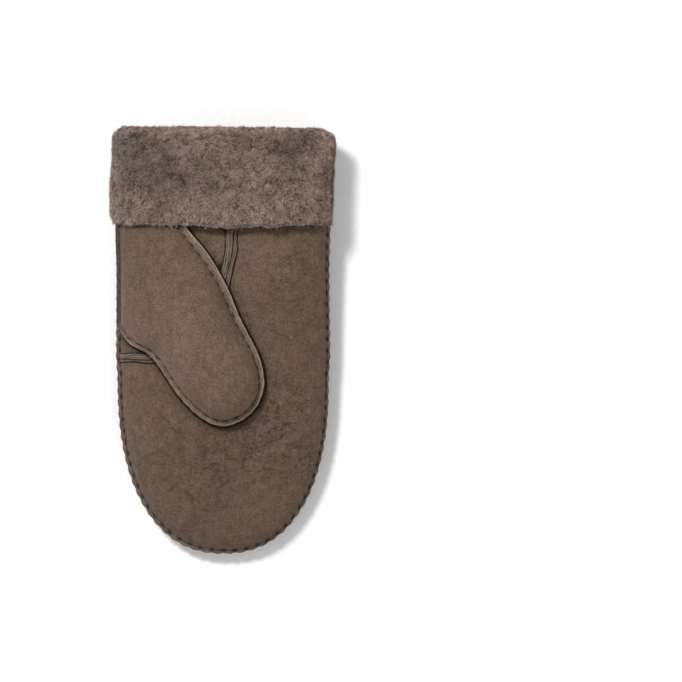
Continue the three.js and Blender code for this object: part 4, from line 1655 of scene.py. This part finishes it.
# %% Painted shadow beside the thumb, the cuff and the palm seam
PAST_CUFF_EDGE = 6  # on the right the painted shadow line runs in under the cuff by this much
LEAVES_SIDE_Y = 8  # on the left it starts where the thumb leaves the side seam
edge_x = np.linspace(70, -70, 141)
cuff_line = np.column_stack([edge_x, CUFF_EDGE_Y - edge_drop(edge_x)])
left_trim, right_trim = read(THUMB_ROWS, thumb_row)[-2:]
round_thumb = np.vstack([right_edge, left_edge[:-1][::-1]])
round_trim = LOWER_TRIM * np.concatenate([right_trim, left_trim[:-1][::-1]])
round_thumb = moved(round_thumb, -round_trim)
on_right = np.arange(len(round_thumb)) < len(right_edge)
highest = np.where(on_right, CUFF_EDGE_Y + PAST_CUFF_EDGE, LEAVES_SIDE_Y)
thumb_line = round_thumb[round_thumb[:, 1] < highest]
palm_side = ridge_side(GAP / 2 + RIDGE_NARROW, 1)
gusset_side = ridge_side(-GAP / 2 - RIDGE_WIDE, 1)[::-1]
for piece in (palm, palm_edge, gusset_palm, gusset_edge):
    paint_shadow_beside(piece, thumb_line, *SHADOW_BESIDE_THUMB)
    paint_shadow_beside(piece, cuff_line, *SHADOW_BESIDE_CUFF)
paint_shadow_beside(thumb, cuff_line, *SHADOW_BESIDE_CUFF)
paint_shadow_beside(palm, palm_side, *SHADOW_BESIDE_RIDGE)
paint_shadow_beside(gusset_palm, gusset_side, *SHADOW_BESIDE_RIDGE)
palm = joined("palm_of_hand", [palm, palm_edge])
gusset = joined("gusset_of_thumb", [gusset_palm, under_thumb, fold, gusset_edge])
print(palm.name, gusset.name, "marked and joined")

# %% [markdown]
# Strands of wool.
# A real pile has hundreds of fibres on each square millimetre. A strand here is a small lock,
# half a millimetre wide, and only as many are made as cover the skin below. Geometry Nodes
# scatter them over a surface, lean them the way the wool is combed, pull neighbours together
# into clumps, and bend each one over. A strand is a plain three-sided spike, because there are
# tens of thousands of them.


# %% Helpers for Geometry Nodes
def new_tree(name, inputs):
    """A tree with an input for each name, kind and value, and with one geometry as output."""
    tree = bpy.data.node_groups.new(name, "GeometryNodeTree")
    for title, kind, value in inputs:
        socket = tree.interface.new_socket(name=title, in_out="INPUT", socket_type=kind)
        if value is not None:
            socket.default_value = value
    tree.interface.new_socket(name="Geometry", in_out="OUTPUT", socket_type="NodeSocketGeometry")
    return tree


def store(tree, geometry, name, value, data_type="FLOAT"):
    """Keeps a value on every point under that name."""
    inputs = {"Geometry": geometry, "Name": name, "Value": value}
    node = add(tree, "GeometryNodeStoreNamedAttribute", inputs, data_type=data_type)
    return node.outputs[0]


def named(tree, name, data_type="FLOAT"):
    """The value kept under that name."""
    node = add(tree, "GeometryNodeInputNamedAttribute", {"Name": name}, data_type=data_type)
    return node.outputs["Attribute"]


def named_vector(tree, name):
    return named(tree, name, "FLOAT_VECTOR")


def vector_math(tree, operation, a, b):
    """The result of one Vector Math node."""
    return add(tree, "ShaderNodeVectorMath", {0: a, 1: b}, operation=operation).outputs[0]


def scaled(tree, vector, scale):
    """A vector made longer or shorter."""
    inputs = {0: vector, "Scale": scale}
    return add(tree, "ShaderNodeVectorMath", inputs, operation="SCALE").outputs[0]


def random_vector(tree, low, high, seed):
    """Another vector on each point or instance, between the two."""
    inputs = {"Min": low, "Max": high, "Seed": seed}
    return add(tree, "FunctionNodeRandomValue", inputs, data_type="FLOAT_VECTOR").outputs[0]


def end_tree(tree, geometry, material):
    """Sets the material, and makes this geometry the output."""
    done = add(tree, "GeometryNodeSetMaterial", {"Geometry": geometry, "Material": material})
    add(tree, "NodeGroupOutput", {0: done.outputs[0]})


def run_tree(obj, tree, values):
    """Runs a node tree on an object with those named inputs, and keeps the plain mesh."""
    modifier = obj.modifiers.new(tree.name, "NODES")
    modifier.node_group = tree
    for item in tree.interface.items_tree:
        if item.name in values and item.in_out == "INPUT":
            modifier[item.identifier] = values[item.name]
    return plain(obj)


# %% Ways of the strands
STRAY = 0.8  # how far a strand may point aside by chance
SWIRL = 2.6  # how strongly the noise turns it
SWIRLS_A_METRE = 220.0
CURLS_A_METRE = 300.0
CURL_SHADE = 0.55  # how much lighter the lightest curls are
OWN_SHADE = 0.45  # and a strand by chance


def pulled_to_clump(tree, group, position):
    """From each point some of the way towards the middle of its clump."""
    size = maths(tree, "DIVIDE", 1.0, group["Clump size"])
    inputs = {"Vector": position, "Scale": size, "Randomness": 1.0}
    middles = add(tree, "ShaderNodeTexVoronoi", inputs).outputs["Position"]
    return scaled(tree, vector_math(tree, "SUBTRACT", middles, position), group["Clump pull"])


def combed_way(tree, position, up, seed):
    """Which way a strand leans: as combed, swirled and strayed, but always along the skin."""
    inputs = {"Vector": position, "Scale": SWIRLS_A_METRE, "Detail": 3.0}
    swirl = add(tree, "ShaderNodeTexNoise", inputs).outputs["Color"]
    swirl = vector_math(tree, "SUBTRACT", swirl, (0.5, 0.5, 0.5))
    stray = random_vector(tree, (-STRAY, -STRAY, -STRAY), (STRAY, STRAY, STRAY), seed)
    combed = vector_math(tree, "ADD", named_vector(tree, "lean"), stray)
    combed = vector_math(tree, "ADD", combed, scaled(tree, swirl, SWIRL))
    rising = add(tree, "ShaderNodeVectorMath", {0: combed, 1: up}, operation="DOT_PRODUCT")
    return vector_math(tree, "SUBTRACT", combed, scaled(tree, up, rising.outputs["Value"]))


def strand_shade(tree, position, seed):
    """How light a strand is, by the curl that it lies in and by chance."""
    inputs = {"Vector": position, "Scale": CURLS_A_METRE, "Detail": 3.0, "Distortion": 2.2}
    curls = add(tree, "ShaderNodeTexNoise", inputs).outputs["Fac"]
    curls = ranged(tree, curls, 0.38, 0.62, 0.0, CURL_SHADE)
    inputs = {2: 0.0, 3: OWN_SHADE, "Seed": seed}
    own = add(tree, "FunctionNodeRandomValue", inputs, data_type="FLOAT").outputs[1]
    return maths(tree, "ADD", curls, own)


# %% Strands
RISING = 0.6  # how far a strand's root already leans the way it is combed
SINKING = -0.55  # how much lower its tip gets as it bends over, for its reach
THINNEST = (0.75, 0.75, 0.7)  # the smallest and largest strand, for its width twice and length
THICKEST = (1.25, 1.25, 1.15)
FLOOR_AIR = 0.1 * MM


def one_strand(tree, group, position):
    """A three-sided spike whose points know how far along it they lie."""
    inputs = {
        "Vertices": 3,
        "Side Segments": 1,
        "Radius Bottom": multiplied(tree, group["Strand width"], 0.5),
        "Radius Top": 0.0,
        "Depth": group["Strand length"],
    }
    spike = add(tree, "GeometryNodeMeshCone", inputs, fill_type="NGON").outputs["Mesh"]
    height = add(tree, "ShaderNodeSeparateXYZ", {0: position}).outputs["Z"]
    return store(tree, spike, "along", maths(tree, "DIVIDE", height, group["Strand length"]))


def planted(tree, points, strand, seed):
    """A strand on every point, turned as it is combed, and no two of the same size."""
    axis = scaled(tree, named_vector(tree, "combed"), RISING)
    axis = vector_math(tree, "ADD", named_vector(tree, "up"), axis)
    turned = add(tree, "FunctionNodeAlignRotationToVector", {"Vector": axis}, axis="Z")
    vary = random_vector(tree, THINNEST, THICKEST, seed)
    shorter = {"X": 1.0, "Y": 1.0, "Z": named(tree, "length")}
    shorter = add(tree, "ShaderNodeCombineXYZ", shorter).outputs[0]
    inputs = {
        "Points": points,
        "Instance": strand,
        "Rotation": turned.outputs[0],
        "Scale": vector_math(tree, "MULTIPLY", vary, shorter),
    }
    strands = add(tree, "GeometryNodeInstanceOnPoints", inputs).outputs[0]
    return add(tree, "GeometryNodeRealizeInstances", {0: strands}).outputs[0]


def bent_over(tree, strands, group, position):
    """Every strand bent over and gathered into its clump, most at its tip, above the floor."""
    along = named(tree, "along")
    squared = multiplied(tree, along, along)
    reach = multiplied(tree, squared, multiplied(tree, group["Strand length"], group["Lean"]))
    offset = scaled(tree, named_vector(tree, "combed"), reach)
    gathered = scaled(tree, named_vector(tree, "pull"), squared)
    offset = vector_math(tree, "ADD", offset, gathered)
    sunk = scaled(tree, named_vector(tree, "up"), multiplied(tree, reach, SINKING))
    offset = vector_math(tree, "ADD", offset, sunk)
    place = vector_math(tree, "ADD", position, offset)
    parts = add(tree, "ShaderNodeSeparateXYZ", {0: place}).outputs
    height = maths(tree, "MAXIMUM", parts["Z"], FLOOR_AIR)
    place = {"X": parts["X"], "Y": parts["Y"], "Z": height}
    place = add(tree, "ShaderNodeCombineXYZ", place).outputs[0]
    return add(tree, "GeometryNodeSetPosition", {"Geometry": strands, "Position": place}).outputs[0]


# %% Node tree for a pile
PILE_INPUTS = [
    ("Geometry", "NodeSocketGeometry", None),
    ("Strands per square metre", "NodeSocketFloat", 2.4e6),
    ("Strand length", "NodeSocketFloat", 5 * MM),
    ("Strand width", "NodeSocketFloat", 0.5 * MM),
    ("Lean", "NodeSocketFloat", 0.7),
    ("Clump size", "NodeSocketFloat", 5 * MM),
    ("Clump pull", "NodeSocketFloat", 0.5),
    ("Seed", "NodeSocketInt", 1),
    ("Material", "NodeSocketMaterial", None),
]


def pile_tree():
    """Plants strands of wool on a surface that says how they lean and how long they are."""
    tree = new_tree("Pile of wool", PILE_INPUTS)
    group = add(tree, "NodeGroupInput").outputs
    seed = group["Seed"]
    inputs = {
        "Mesh": group["Geometry"],
        "Density": group["Strands per square metre"],
        "Seed": seed,
    }
    scatter = add(tree, "GeometryNodeDistributePointsOnFaces", inputs).outputs
    position = add(tree, "GeometryNodeInputPosition").outputs[0]
    up = scatter["Normal"]
    pull = pulled_to_clump(tree, group, position)
    combed = combed_way(tree, position, up, seed)
    points = store(tree, scatter["Points"], "pull", pull, "FLOAT_VECTOR")
    points = store(tree, points, "combed", combed, "FLOAT_VECTOR")
    points = store(tree, points, "up", up, "FLOAT_VECTOR")
    points = store(tree, points, "shade", strand_shade(tree, position, seed))
    strands = planted(tree, points, one_strand(tree, group, position), seed)
    end_tree(tree, bent_over(tree, strands, group, position), group["Material"])
    return tree


pile = pile_tree()
print("pile tree:", len(pile.nodes), "nodes")


# %% [markdown]
# The way the wool is combed.
# In the upper half of the cuff the locks lie in swirls, and in the lower half they point down
# over the edge. Here and there the wool parts, and its darker roots show as painted shade. The
# wool is made paler along the fold and at its edge as painted light. The strands are
# planted on four patches that follow the body of the cuff, so that no piece grows too heavy.


# %% Tables of the wool
# x, y, radius, how much lighter or darker the wool is there
WOOL_TONES = [
    (-48, 102, 14, -0.2),
    (-30, 96, 12, -0.16),
    (-52, 118, 8, -0.15),
    (-57, 88, 8, -0.06),
    (6, 112, 10, -0.18),
    (38, 110, 12, -0.16),
    (26, 92, 10, 0.06),
    (-8, 88, 8, -0.1),
    (14, 102, 12, 0.08),
    (48, 98, 10, 0.08),
    (-20, 112, 12, 0.08),
    (-4, 120, 10, 0.08),
    (-36, 80, 18, -0.03),
    (58, 112, 8, 0.08),
]
# Curved lines where the wool parts and the darker roots show
PARTINGS = [
    [(-5, 104.5), (-3, 101), (-0.5, 97.5), (5, 91)],
    [(1.5, 87.5), (8, 88.5), (15, 86.5), (23, 88)],
    [(25, 91.5), (33, 91), (41, 92.5), (47, 92)],
    [(-33, 91), (-28, 94), (-22, 92)],
    [(9, 76), (12, 73.5)],
]
WOOL_CONTRAST = 1.4  # how strongly the table of tones is shown
PARTING_LEAN = (0.6, 1.8)  # how far the strands lean away from a parting, up to what distance
PARTING_DARK = (0.22, 0.8)  # how dark the painted shade in a parting is, up to what distance
TOP_ABOVE = 25  # partings show above this height
PALE_LOW = 0.08  # how much paler the lower half of the band is
PAINTED_LIGHT_FOLD = 0.25  # painted light: how much paler the wool along the fold is
PAINTED_LIGHT_EDGE = 0.1  # painted light: how much paler the wool at the edge is
SHORT_FOLD = 0.4  # how much shorter the strands are at the fold
SHORT_EDGE = 0.25  # and at the edge
print(len(WOOL_TONES), "tones and", len(PARTINGS), "partings in the wool")


# %% Patches to plant the wool on
def pile_patch(name, angle_range, place, layer, columns):
    """A patch of the cuff's body, or of the mouth, to plant strands on."""
    angle = np.linspace(*angle_range, columns)[:, None]
    patch_y = place[None] + 0 * angle
    points = cuff_points(angle + 0 * patch_y, patch_y, layer[None] + 0 * angle, PILE)
    points = points.reshape(-1, 3)
    quads = grid_faces(columns, len(place), 0, True)
    lean, dark = parted(points)
    y = points[:, 1]
    # paler towards the lower half, and painted light along the fold and at the edge
    pale = PALE_LOW * (1 - smoothstep(y, 70, 96)) + PAINTED_LIGHT_FOLD * smoothstep(y, 117, 122)
    pale = pale + PAINTED_LIGHT_EDGE * (1 - smoothstep(y, CUFF_EDGE_Y + 1, CUFF_EDGE_Y + 6))
    tones = WOOL_CONTRAST * patches_of(points[:, 0], y, WOOL_TONES)
    attributes = {
        "lean": combing(points) + lean,
        "length": strand_length(points),
        # the tone carries the painted light along the fold and the edge, and the painted shade of
        # the partings
        "tone": 0.5 + tones + pale - dark,
    }
    return make_object(name, points, quads, attributes)


def parted(points):
    """Which way each parting bends the strands, and the painted shade that darkens it."""
    lean = np.zeros(points.shape)
    dark = np.zeros(len(points))
    on_top = points[:, 2] > TOP_ABOVE
    for corners in PARTINGS:
        line = smooth_line(corners, np.linspace(0, 1, 40))
        gaps = points[:, None, :2] - line[None]
        lengths = np.linalg.norm(gaps, axis=-1)
        nearest = lengths.argmin(axis=1)
        rows = np.arange(len(points))
        away = lengths[rows, nearest]
        way = gaps[rows, nearest] / np.maximum(away, 0.01)[:, None]
        bending, reach = PARTING_LEAN
        lean[:, :2] += way * (bending * on_top * np.exp(-((away / reach) ** 2)))[:, None]
        darkness, reach = PARTING_DARK
        dark += darkness * on_top * np.exp(-((away / reach) ** 2))
    return lean, dark


def strand_length(points):
    """Full length on the band, shorter where the wool is pressed at the fold and the edge."""
    y = points[:, 1]
    fold_share = smoothstep(y, 116, 122)
    edge_share = 1 - smoothstep(y, CUFF_EDGE_Y + 1, CUFF_EDGE_Y + 7)
    return 1 - SHORT_FOLD * fold_share - SHORT_EDGE * edge_share


def combing(points):
    """Down over the edge near it, and in slow swirls further up."""
    x, y, z = points.T
    down = 1 - smoothstep(y, CUFF_EDGE_Y + 12, CUFF_EDGE_Y + 40)
    turn = 0.9 * np.sin(x * 0.13 + 0.6) + 1.6 * np.sin(x * 0.071 + y * 0.13)
    turn = turn + 1.1 * np.sin(y * 0.21 - x * 0.05 + 1)
    wild_x = 0.6 * np.sin(turn)
    wild_y = -np.cos(turn) * 0.5
    calm = 1 - 0.6 * smoothstep(y, 117, 123)
    lean = [wild_x * (1 - down * 0.8) * calm, mix(wild_y, -0.6, down) * calm, 0 * z]
    return np.stack(lean, axis=-1)


# %% Wool of the cuff
strand_values = {
    "Strands per square metre": 7.5e6,
    "Strand length": 2.9 * MM,
    "Strand width": 0.5 * MM,
    "Lean": 0.5,
    "Clump size": 2.2 * MM,
    "Clump pull": 0.6,
    "Material": wool,
}
DRAFT = 1
PATCH_COLUMNS = 180
# The band of wool starts at its edge and ends past the fold, both as rows of the cuff's wall
BAND = (0.8, 11.6)
MOUTH_LIP = (11.6, 13)
INTO_MOUTH = np.linspace(118, 84, 30)
at = np.linspace(*BAND, 120)
band_y = np.interp(at, knots, wall_closed[:, 0])
band_layer = np.interp(at, knots, wall_closed[:, 1])
at = np.linspace(*MOUTH_LIP, 12)
mouth_y = np.concatenate([np.interp(at, knots, wall_closed[:, 0]), INTO_MOUTH])
mouth_layer = np.interp(at, knots, wall_closed[:, 1])
mouth_layer = np.concatenate([mouth_layer, np.zeros(len(INTO_MOUTH))])
# name, angles, place and layer of its rows, share of the full density
patches = [
    ("wool_front_left", (0.5 * np.pi, 1.02 * np.pi), band_y, band_layer, 1),
    ("wool_front_right", (-0.02 * np.pi, 0.5 * np.pi), band_y, band_layer, 1),
    ("wool_back", (1.02 * np.pi, 1.98 * np.pi), band_y, band_layer, 0.5),
    ("wool_mouth", (0, 2 * np.pi), mouth_y, mouth_layer, 0.5),
]
wool_pieces = []
for seed, (name, angle_range, place, layer, density) in enumerate(patches, start=11):
    patch = pile_patch(name, angle_range, place, layer, PATCH_COLUMNS)
    values = dict(strand_values, Seed=seed)
    density = density * DRAFT * strand_values["Strands per square metre"]
    values["Strands per square metre"] = density
    wool_pieces.append(run_tree(patch, pile, values))
    print(name, len(patch.data.polygons), "faces")


# %% [markdown]
# Stitches.
# A running stitch goes in and out at the same pace along the whole seam. Geometry Nodes walk
# along the seam line, drop one short arc of thread at every step, and turn it to follow the
# line. Each arc dips into the leather at both ends, and no two lie quite alike.


# %% Node tree for stitches
STITCH_INPUTS = [
    ("Geometry", "NodeSocketGeometry", None),
    ("Pitch", "NodeSocketFloat", STITCH_PITCH * MM),
    ("Stitch length", "NodeSocketFloat", 2.6 * MM),
    ("Thread", "NodeSocketFloat", 0.8 * MM),
    ("Arch", "NodeSocketFloat", 0.6 * MM),
    ("Seed", "NodeSocketInt", 1),
    ("Material", "NodeSocketMaterial", None),
]
SLACK = (0.12, 0.1, 0.25)  # how far a stitch may be turned out of line, in radians
SMALLEST = (0.75, 0.9, 0.9)
LARGEST = (1.15, 1.1, 1.1)


def one_stitch(tree, group):
    """An arc of thread along X, whose ends are as far down as its middle is up."""
    half = multiplied(tree, group["Stitch length"], 0.5)
    back = multiplied(tree, half, -1.0)
    sunk = multiplied(tree, group["Arch"], -1.0)
    start = add(tree, "ShaderNodeCombineXYZ", {"X": back, "Z": sunk}).outputs[0]
    middle = add(tree, "ShaderNodeCombineXYZ", {"Z": group["Arch"]}).outputs[0]
    end = add(tree, "ShaderNodeCombineXYZ", {"X": half, "Z": sunk}).outputs[0]
    inputs = {"Resolution": 5, "Start": start, "Middle": middle, "End": end}
    arc = add(tree, "GeometryNodeCurveQuadraticBezier", inputs).outputs[0]
    inputs = {"Resolution": 6, "Radius": multiplied(tree, group["Thread"], 0.5)}
    section = add(tree, "GeometryNodeCurvePrimitiveCircle", inputs).outputs[0]
    inputs = {"Curve": arc, "Profile Curve": section, "Fill Caps": True}
    return add(tree, "GeometryNodeCurveToMesh", inputs).outputs[0]


def along_the_seam(tree, seed):
    """The turn that lays a stitch along the seam, a little slack."""
    tangent = add(tree, "GeometryNodeInputTangent").outputs[0]
    inputs = {"Primary Axis": named_vector(tree, "up"), "Secondary Axis": tangent}
    axes = {"primary_axis": "Z", "secondary_axis": "X"}
    turned = add(tree, "FunctionNodeAxesToRotation", inputs, **axes).outputs[0]
    slack = random_vector(tree, [-turn for turn in SLACK], SLACK, seed)
    loose = add(tree, "FunctionNodeEulerToRotation", {0: slack}).outputs[0]
    both = {0: turned, 1: loose}
    return add(tree, "FunctionNodeRotateRotation", both, rotation_space="LOCAL").outputs[0]


def stitch_tree():
    """Sews along loose edges that say which way is up."""
    tree = new_tree("Running stitch", STITCH_INPUTS)
    group = add(tree, "NodeGroupInput").outputs
    path = add(tree, "GeometryNodeMeshToCurve", {"Mesh": group["Geometry"]}).outputs[0]
    inputs = {"Curve": path, "Length": group["Pitch"]}
    steps = add(tree, "GeometryNodeResampleCurve", inputs, mode="LENGTH").outputs[0]
    inputs = {
        "Points": steps,
        "Instance": one_stitch(tree, group),
        "Rotation": along_the_seam(tree, group["Seed"]),
        "Scale": random_vector(tree, SMALLEST, LARGEST, group["Seed"]),
    }
    sewn = add(tree, "GeometryNodeInstanceOnPoints", inputs).outputs[0]
    real = add(tree, "GeometryNodeRealizeInstances", {0: sewn}).outputs[0]
    end_tree(tree, real, group["Material"])
    return tree


running_stitch = stitch_tree()
print("stitch tree:", len(running_stitch.nodes), "nodes")


# %% Paths for the stitches
POINTS_A_STITCH = 8


def path_object(name, lines, ups):
    """Open lines of points as loose edges, each with the direction that is up there."""
    points = []
    edges = []
    directions = []
    for line, up in zip(lines, ups):
        first = len(points)
        points.extend(line.tolist())
        directions.extend(np.broadcast_to(up, line.shape).tolist())
        edges.extend([[first + i, first + i + 1] for i in range(len(line) - 1)])
    mesh = bpy.data.meshes.new(name)
    mesh.from_pydata((np.array(points) * MM).tolist(), edges, [])
    attribute = mesh.attributes.new("up", "FLOAT_VECTOR", "POINT")
    attribute.data.foreach_set("vector", np.array(directions, np.float32).ravel())
    return linked(name, mesh)


def whole_steps(outline, heights, distance, first, last):
    """The part of a line between two stitches, counted from its last point, backwards."""
    at = np.linspace(first, last, (last - first) * POINTS_A_STITCH + 1) * STITCH_PITCH
    order = np.argsort(distance)
    path = np.column_stack([outline, heights])
    return resampled(path[order], distance[order], at)


# %% Side stitches
SEWN_IN = 0.15  # how far the thread is pulled into the leather
UP = np.array([0, 0, 1])
x, y = hand_points(0, STITCH_LINE * (lip > 0))
last_stitch = int(seam_run[0] // STITCH_PITCH)
lines = []
ups = []
for column, first_stitch in ((-1, 0), (0, 1)):
    path = np.stack([x[:, column], y[:, column]], axis=-1)
    hang = droop[:, column] * (STITCH_LINE / wide[:, column]) ** DROOP_POWER
    for shift in (-1, 1):
        level = read(SECTIONS, path[:, 1])[2] + shift * (SKIN - SEWN_IN) - hang
        lines.append(whole_steps(path, level, seam_run, first_stitch, last_stitch))
        ups.append(UP * shift)
side_stitches = path_object("side_stitches", lines, ups)
stitch_values = {"Stitch length": 2.4 * MM, "Thread": 0.8 * MM, "Material": thread, "Seed": 3}
run_tree(side_stitches, running_stitch, stitch_values)
print(side_stitches.name, len(side_stitches.data.polygons), "faces")

# %% Thumb stitches
LIFTED_ENOUGH = 0.8  # the thumb is sewn where its edge has this much of its full lift
ABOVE_LEATHER = 0.1
thumb_lines = []
thumb_ups = []
left_lift, right_lift, _, left_lip, right_lip = read(THUMB_ROWS, thumb_row)[:5]
thumb_sides = [(left_edge, left_lift, left_lip), (right_edge, right_lift, right_lip)]
for outline, lift, width in thumb_sides:
    way = outline - thumb_middle
    way /= np.linalg.norm(way, axis=1)[:, None]
    free = lift > LIFTED_ENOUGH
    run = seam_distance(outline)
    sway = 0.35 * np.sin(run * 0.37) + 0.25 * np.sin(run * 0.83 + 1)
    inward = outline - way * (width - STITCH_LINE + sway)[:, None]
    level = palm_outer(inward[:, 0], inward[:, 1]) + lift * THUMB_LIFT + ABOVE_LEATHER
    first_stitch = 0 if outline is right_edge else 1
    last_stitch = int(run[free].max() // STITCH_PITCH)
    thumb_lines.append(whole_steps(inward, level, run, first_stitch, last_stitch))
    thumb_ups.append(UP)
thumb_stitches = path_object("thumb_stitches", thumb_lines, thumb_ups)
thumb_values = dict(stitch_values, Seed=4)
thumb_values.update({"Stitch length": 3.6 * MM, "Thread": 0.5 * MM})
run_tree(thumb_stitches, running_stitch, thumb_values)
print(thumb_stitches.name, len(thumb_stitches.data.polygons), "faces")

# %% [markdown]
# Riding on the frame.
# Nothing on a mitten turns, so every piece rides on the one body, and each hide panel is shown
# in place of its CAD node, which is hidden. The cut edges of the panels are shaded sharp,
# everything else smooth.

# %% Riding on the frame
SHARP = 50  # degrees between two faces from which their edge is a sharp one
stands_for = [
    (back_panel, "back_panel", "suede"),
    (palm, "palm_panel", "suede"),
    (gusset, "thumb_gusset", "suede"),
    (thumb, "thumb_panel", "suede"),
    (cuff, "cuff", "wool"),
]
for piece, node, slot in stands_for:
    crisp(piece, SHARP)
    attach(piece, "root")
    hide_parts(node)
for piece in wool_pieces:
    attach(piece, "root")
for piece in (side_stitches, thumb_stitches):
    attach(piece, "root")

# %% [markdown]
# Floor, light and camera.
# The photograph was taken from straight above in a bright studio, with the light from the upper
# left and a soft shadow to the lower right. A long lens keeps the outline free of perspective.


# %% Floor and world
FLOOR_WIDTH = 6
WORLD_STRENGTH = 0.46


def floor_material():
    """White paper with a faint grain."""
    material = new_material("Matte studio paper")
    tree = material.node_tree
    grain = spotted(tree, object_place(tree), 3, 3, 0.3, 0.7)
    body = blended(tree, grain, colour("#f6f6f6"), colour("#fbfbfb"))
    return shaded(material, {"Base Color": body, "Roughness": 0.9})


bpy.ops.mesh.primitive_plane_add(size=FLOOR_WIDTH, location=(0, 0, 0))
floor = bpy.context.active_object
floor.name = "floor"
floor.data.materials.append(floor_material())

scene = bpy.context.scene
world = bpy.data.worlds.new("Bright studio")
world.use_nodes = True
background = world.node_tree.nodes["Background"].inputs
background["Color"].default_value = (1, 1, 1, 1)
background["Strength"].default_value = WORLD_STRENGTH
scene.world = world
scene.view_settings.view_transform = "Standard"


# %% Lights
def soft_light(name, place, size, power):
    """A square lamp that shines at the middle of the mitten, in metres and watts."""
    data = bpy.data.lights.new(name, "AREA")
    data.shape = "SQUARE"
    data.size = size
    data.energy = power
    lamp = bpy.data.objects.new(name, data)
    lamp.location = place
    lamp.rotation_euler = (-Vector(place)).to_track_quat("-Z", "Y").to_euler()
    scene.collection.objects.link(lamp)
    return lamp


key = soft_light("key", (-0.62, 0.8, 1.56), 0.36, 27)
fill = soft_light("fill", (0.5, -1.0, 1.2), 1.2, 6)
print("lights:", key.name, "and", fill.name)

# %% Camera
VIEW_CENTRE = (68.6 * MM, -0.9 * MM)  # what the middle of the photograph looks at
VIEW_WIDTH = 396.5 * MM  # what it shows from left to right, at the height of the side seams
SEAM_HEIGHT = 20 * MM
camera_data = bpy.data.cameras.new("camera")
camera_data.lens = 180
camera_data.sensor_width = 36
camera = bpy.data.objects.new("camera", camera_data)
distance = VIEW_WIDTH * camera_data.lens / camera_data.sensor_width
camera.location = (*VIEW_CENTRE, distance + SEAM_HEIGHT)
scene.collection.objects.link(camera)
scene.camera = camera
print("camera", round(camera.location.z, 2), "m above the floor")

# %% Sizes, and the end
total = 0
for obj in [row[0] for row in stands_for] + wool_pieces + [side_stitches, thumb_stitches]:
    obj.data.calc_loop_triangles()
    total += len(obj.data.loop_triangles)
    print(obj.name, len(obj.data.loop_triangles), "triangles")
print("triangles in all:", total)
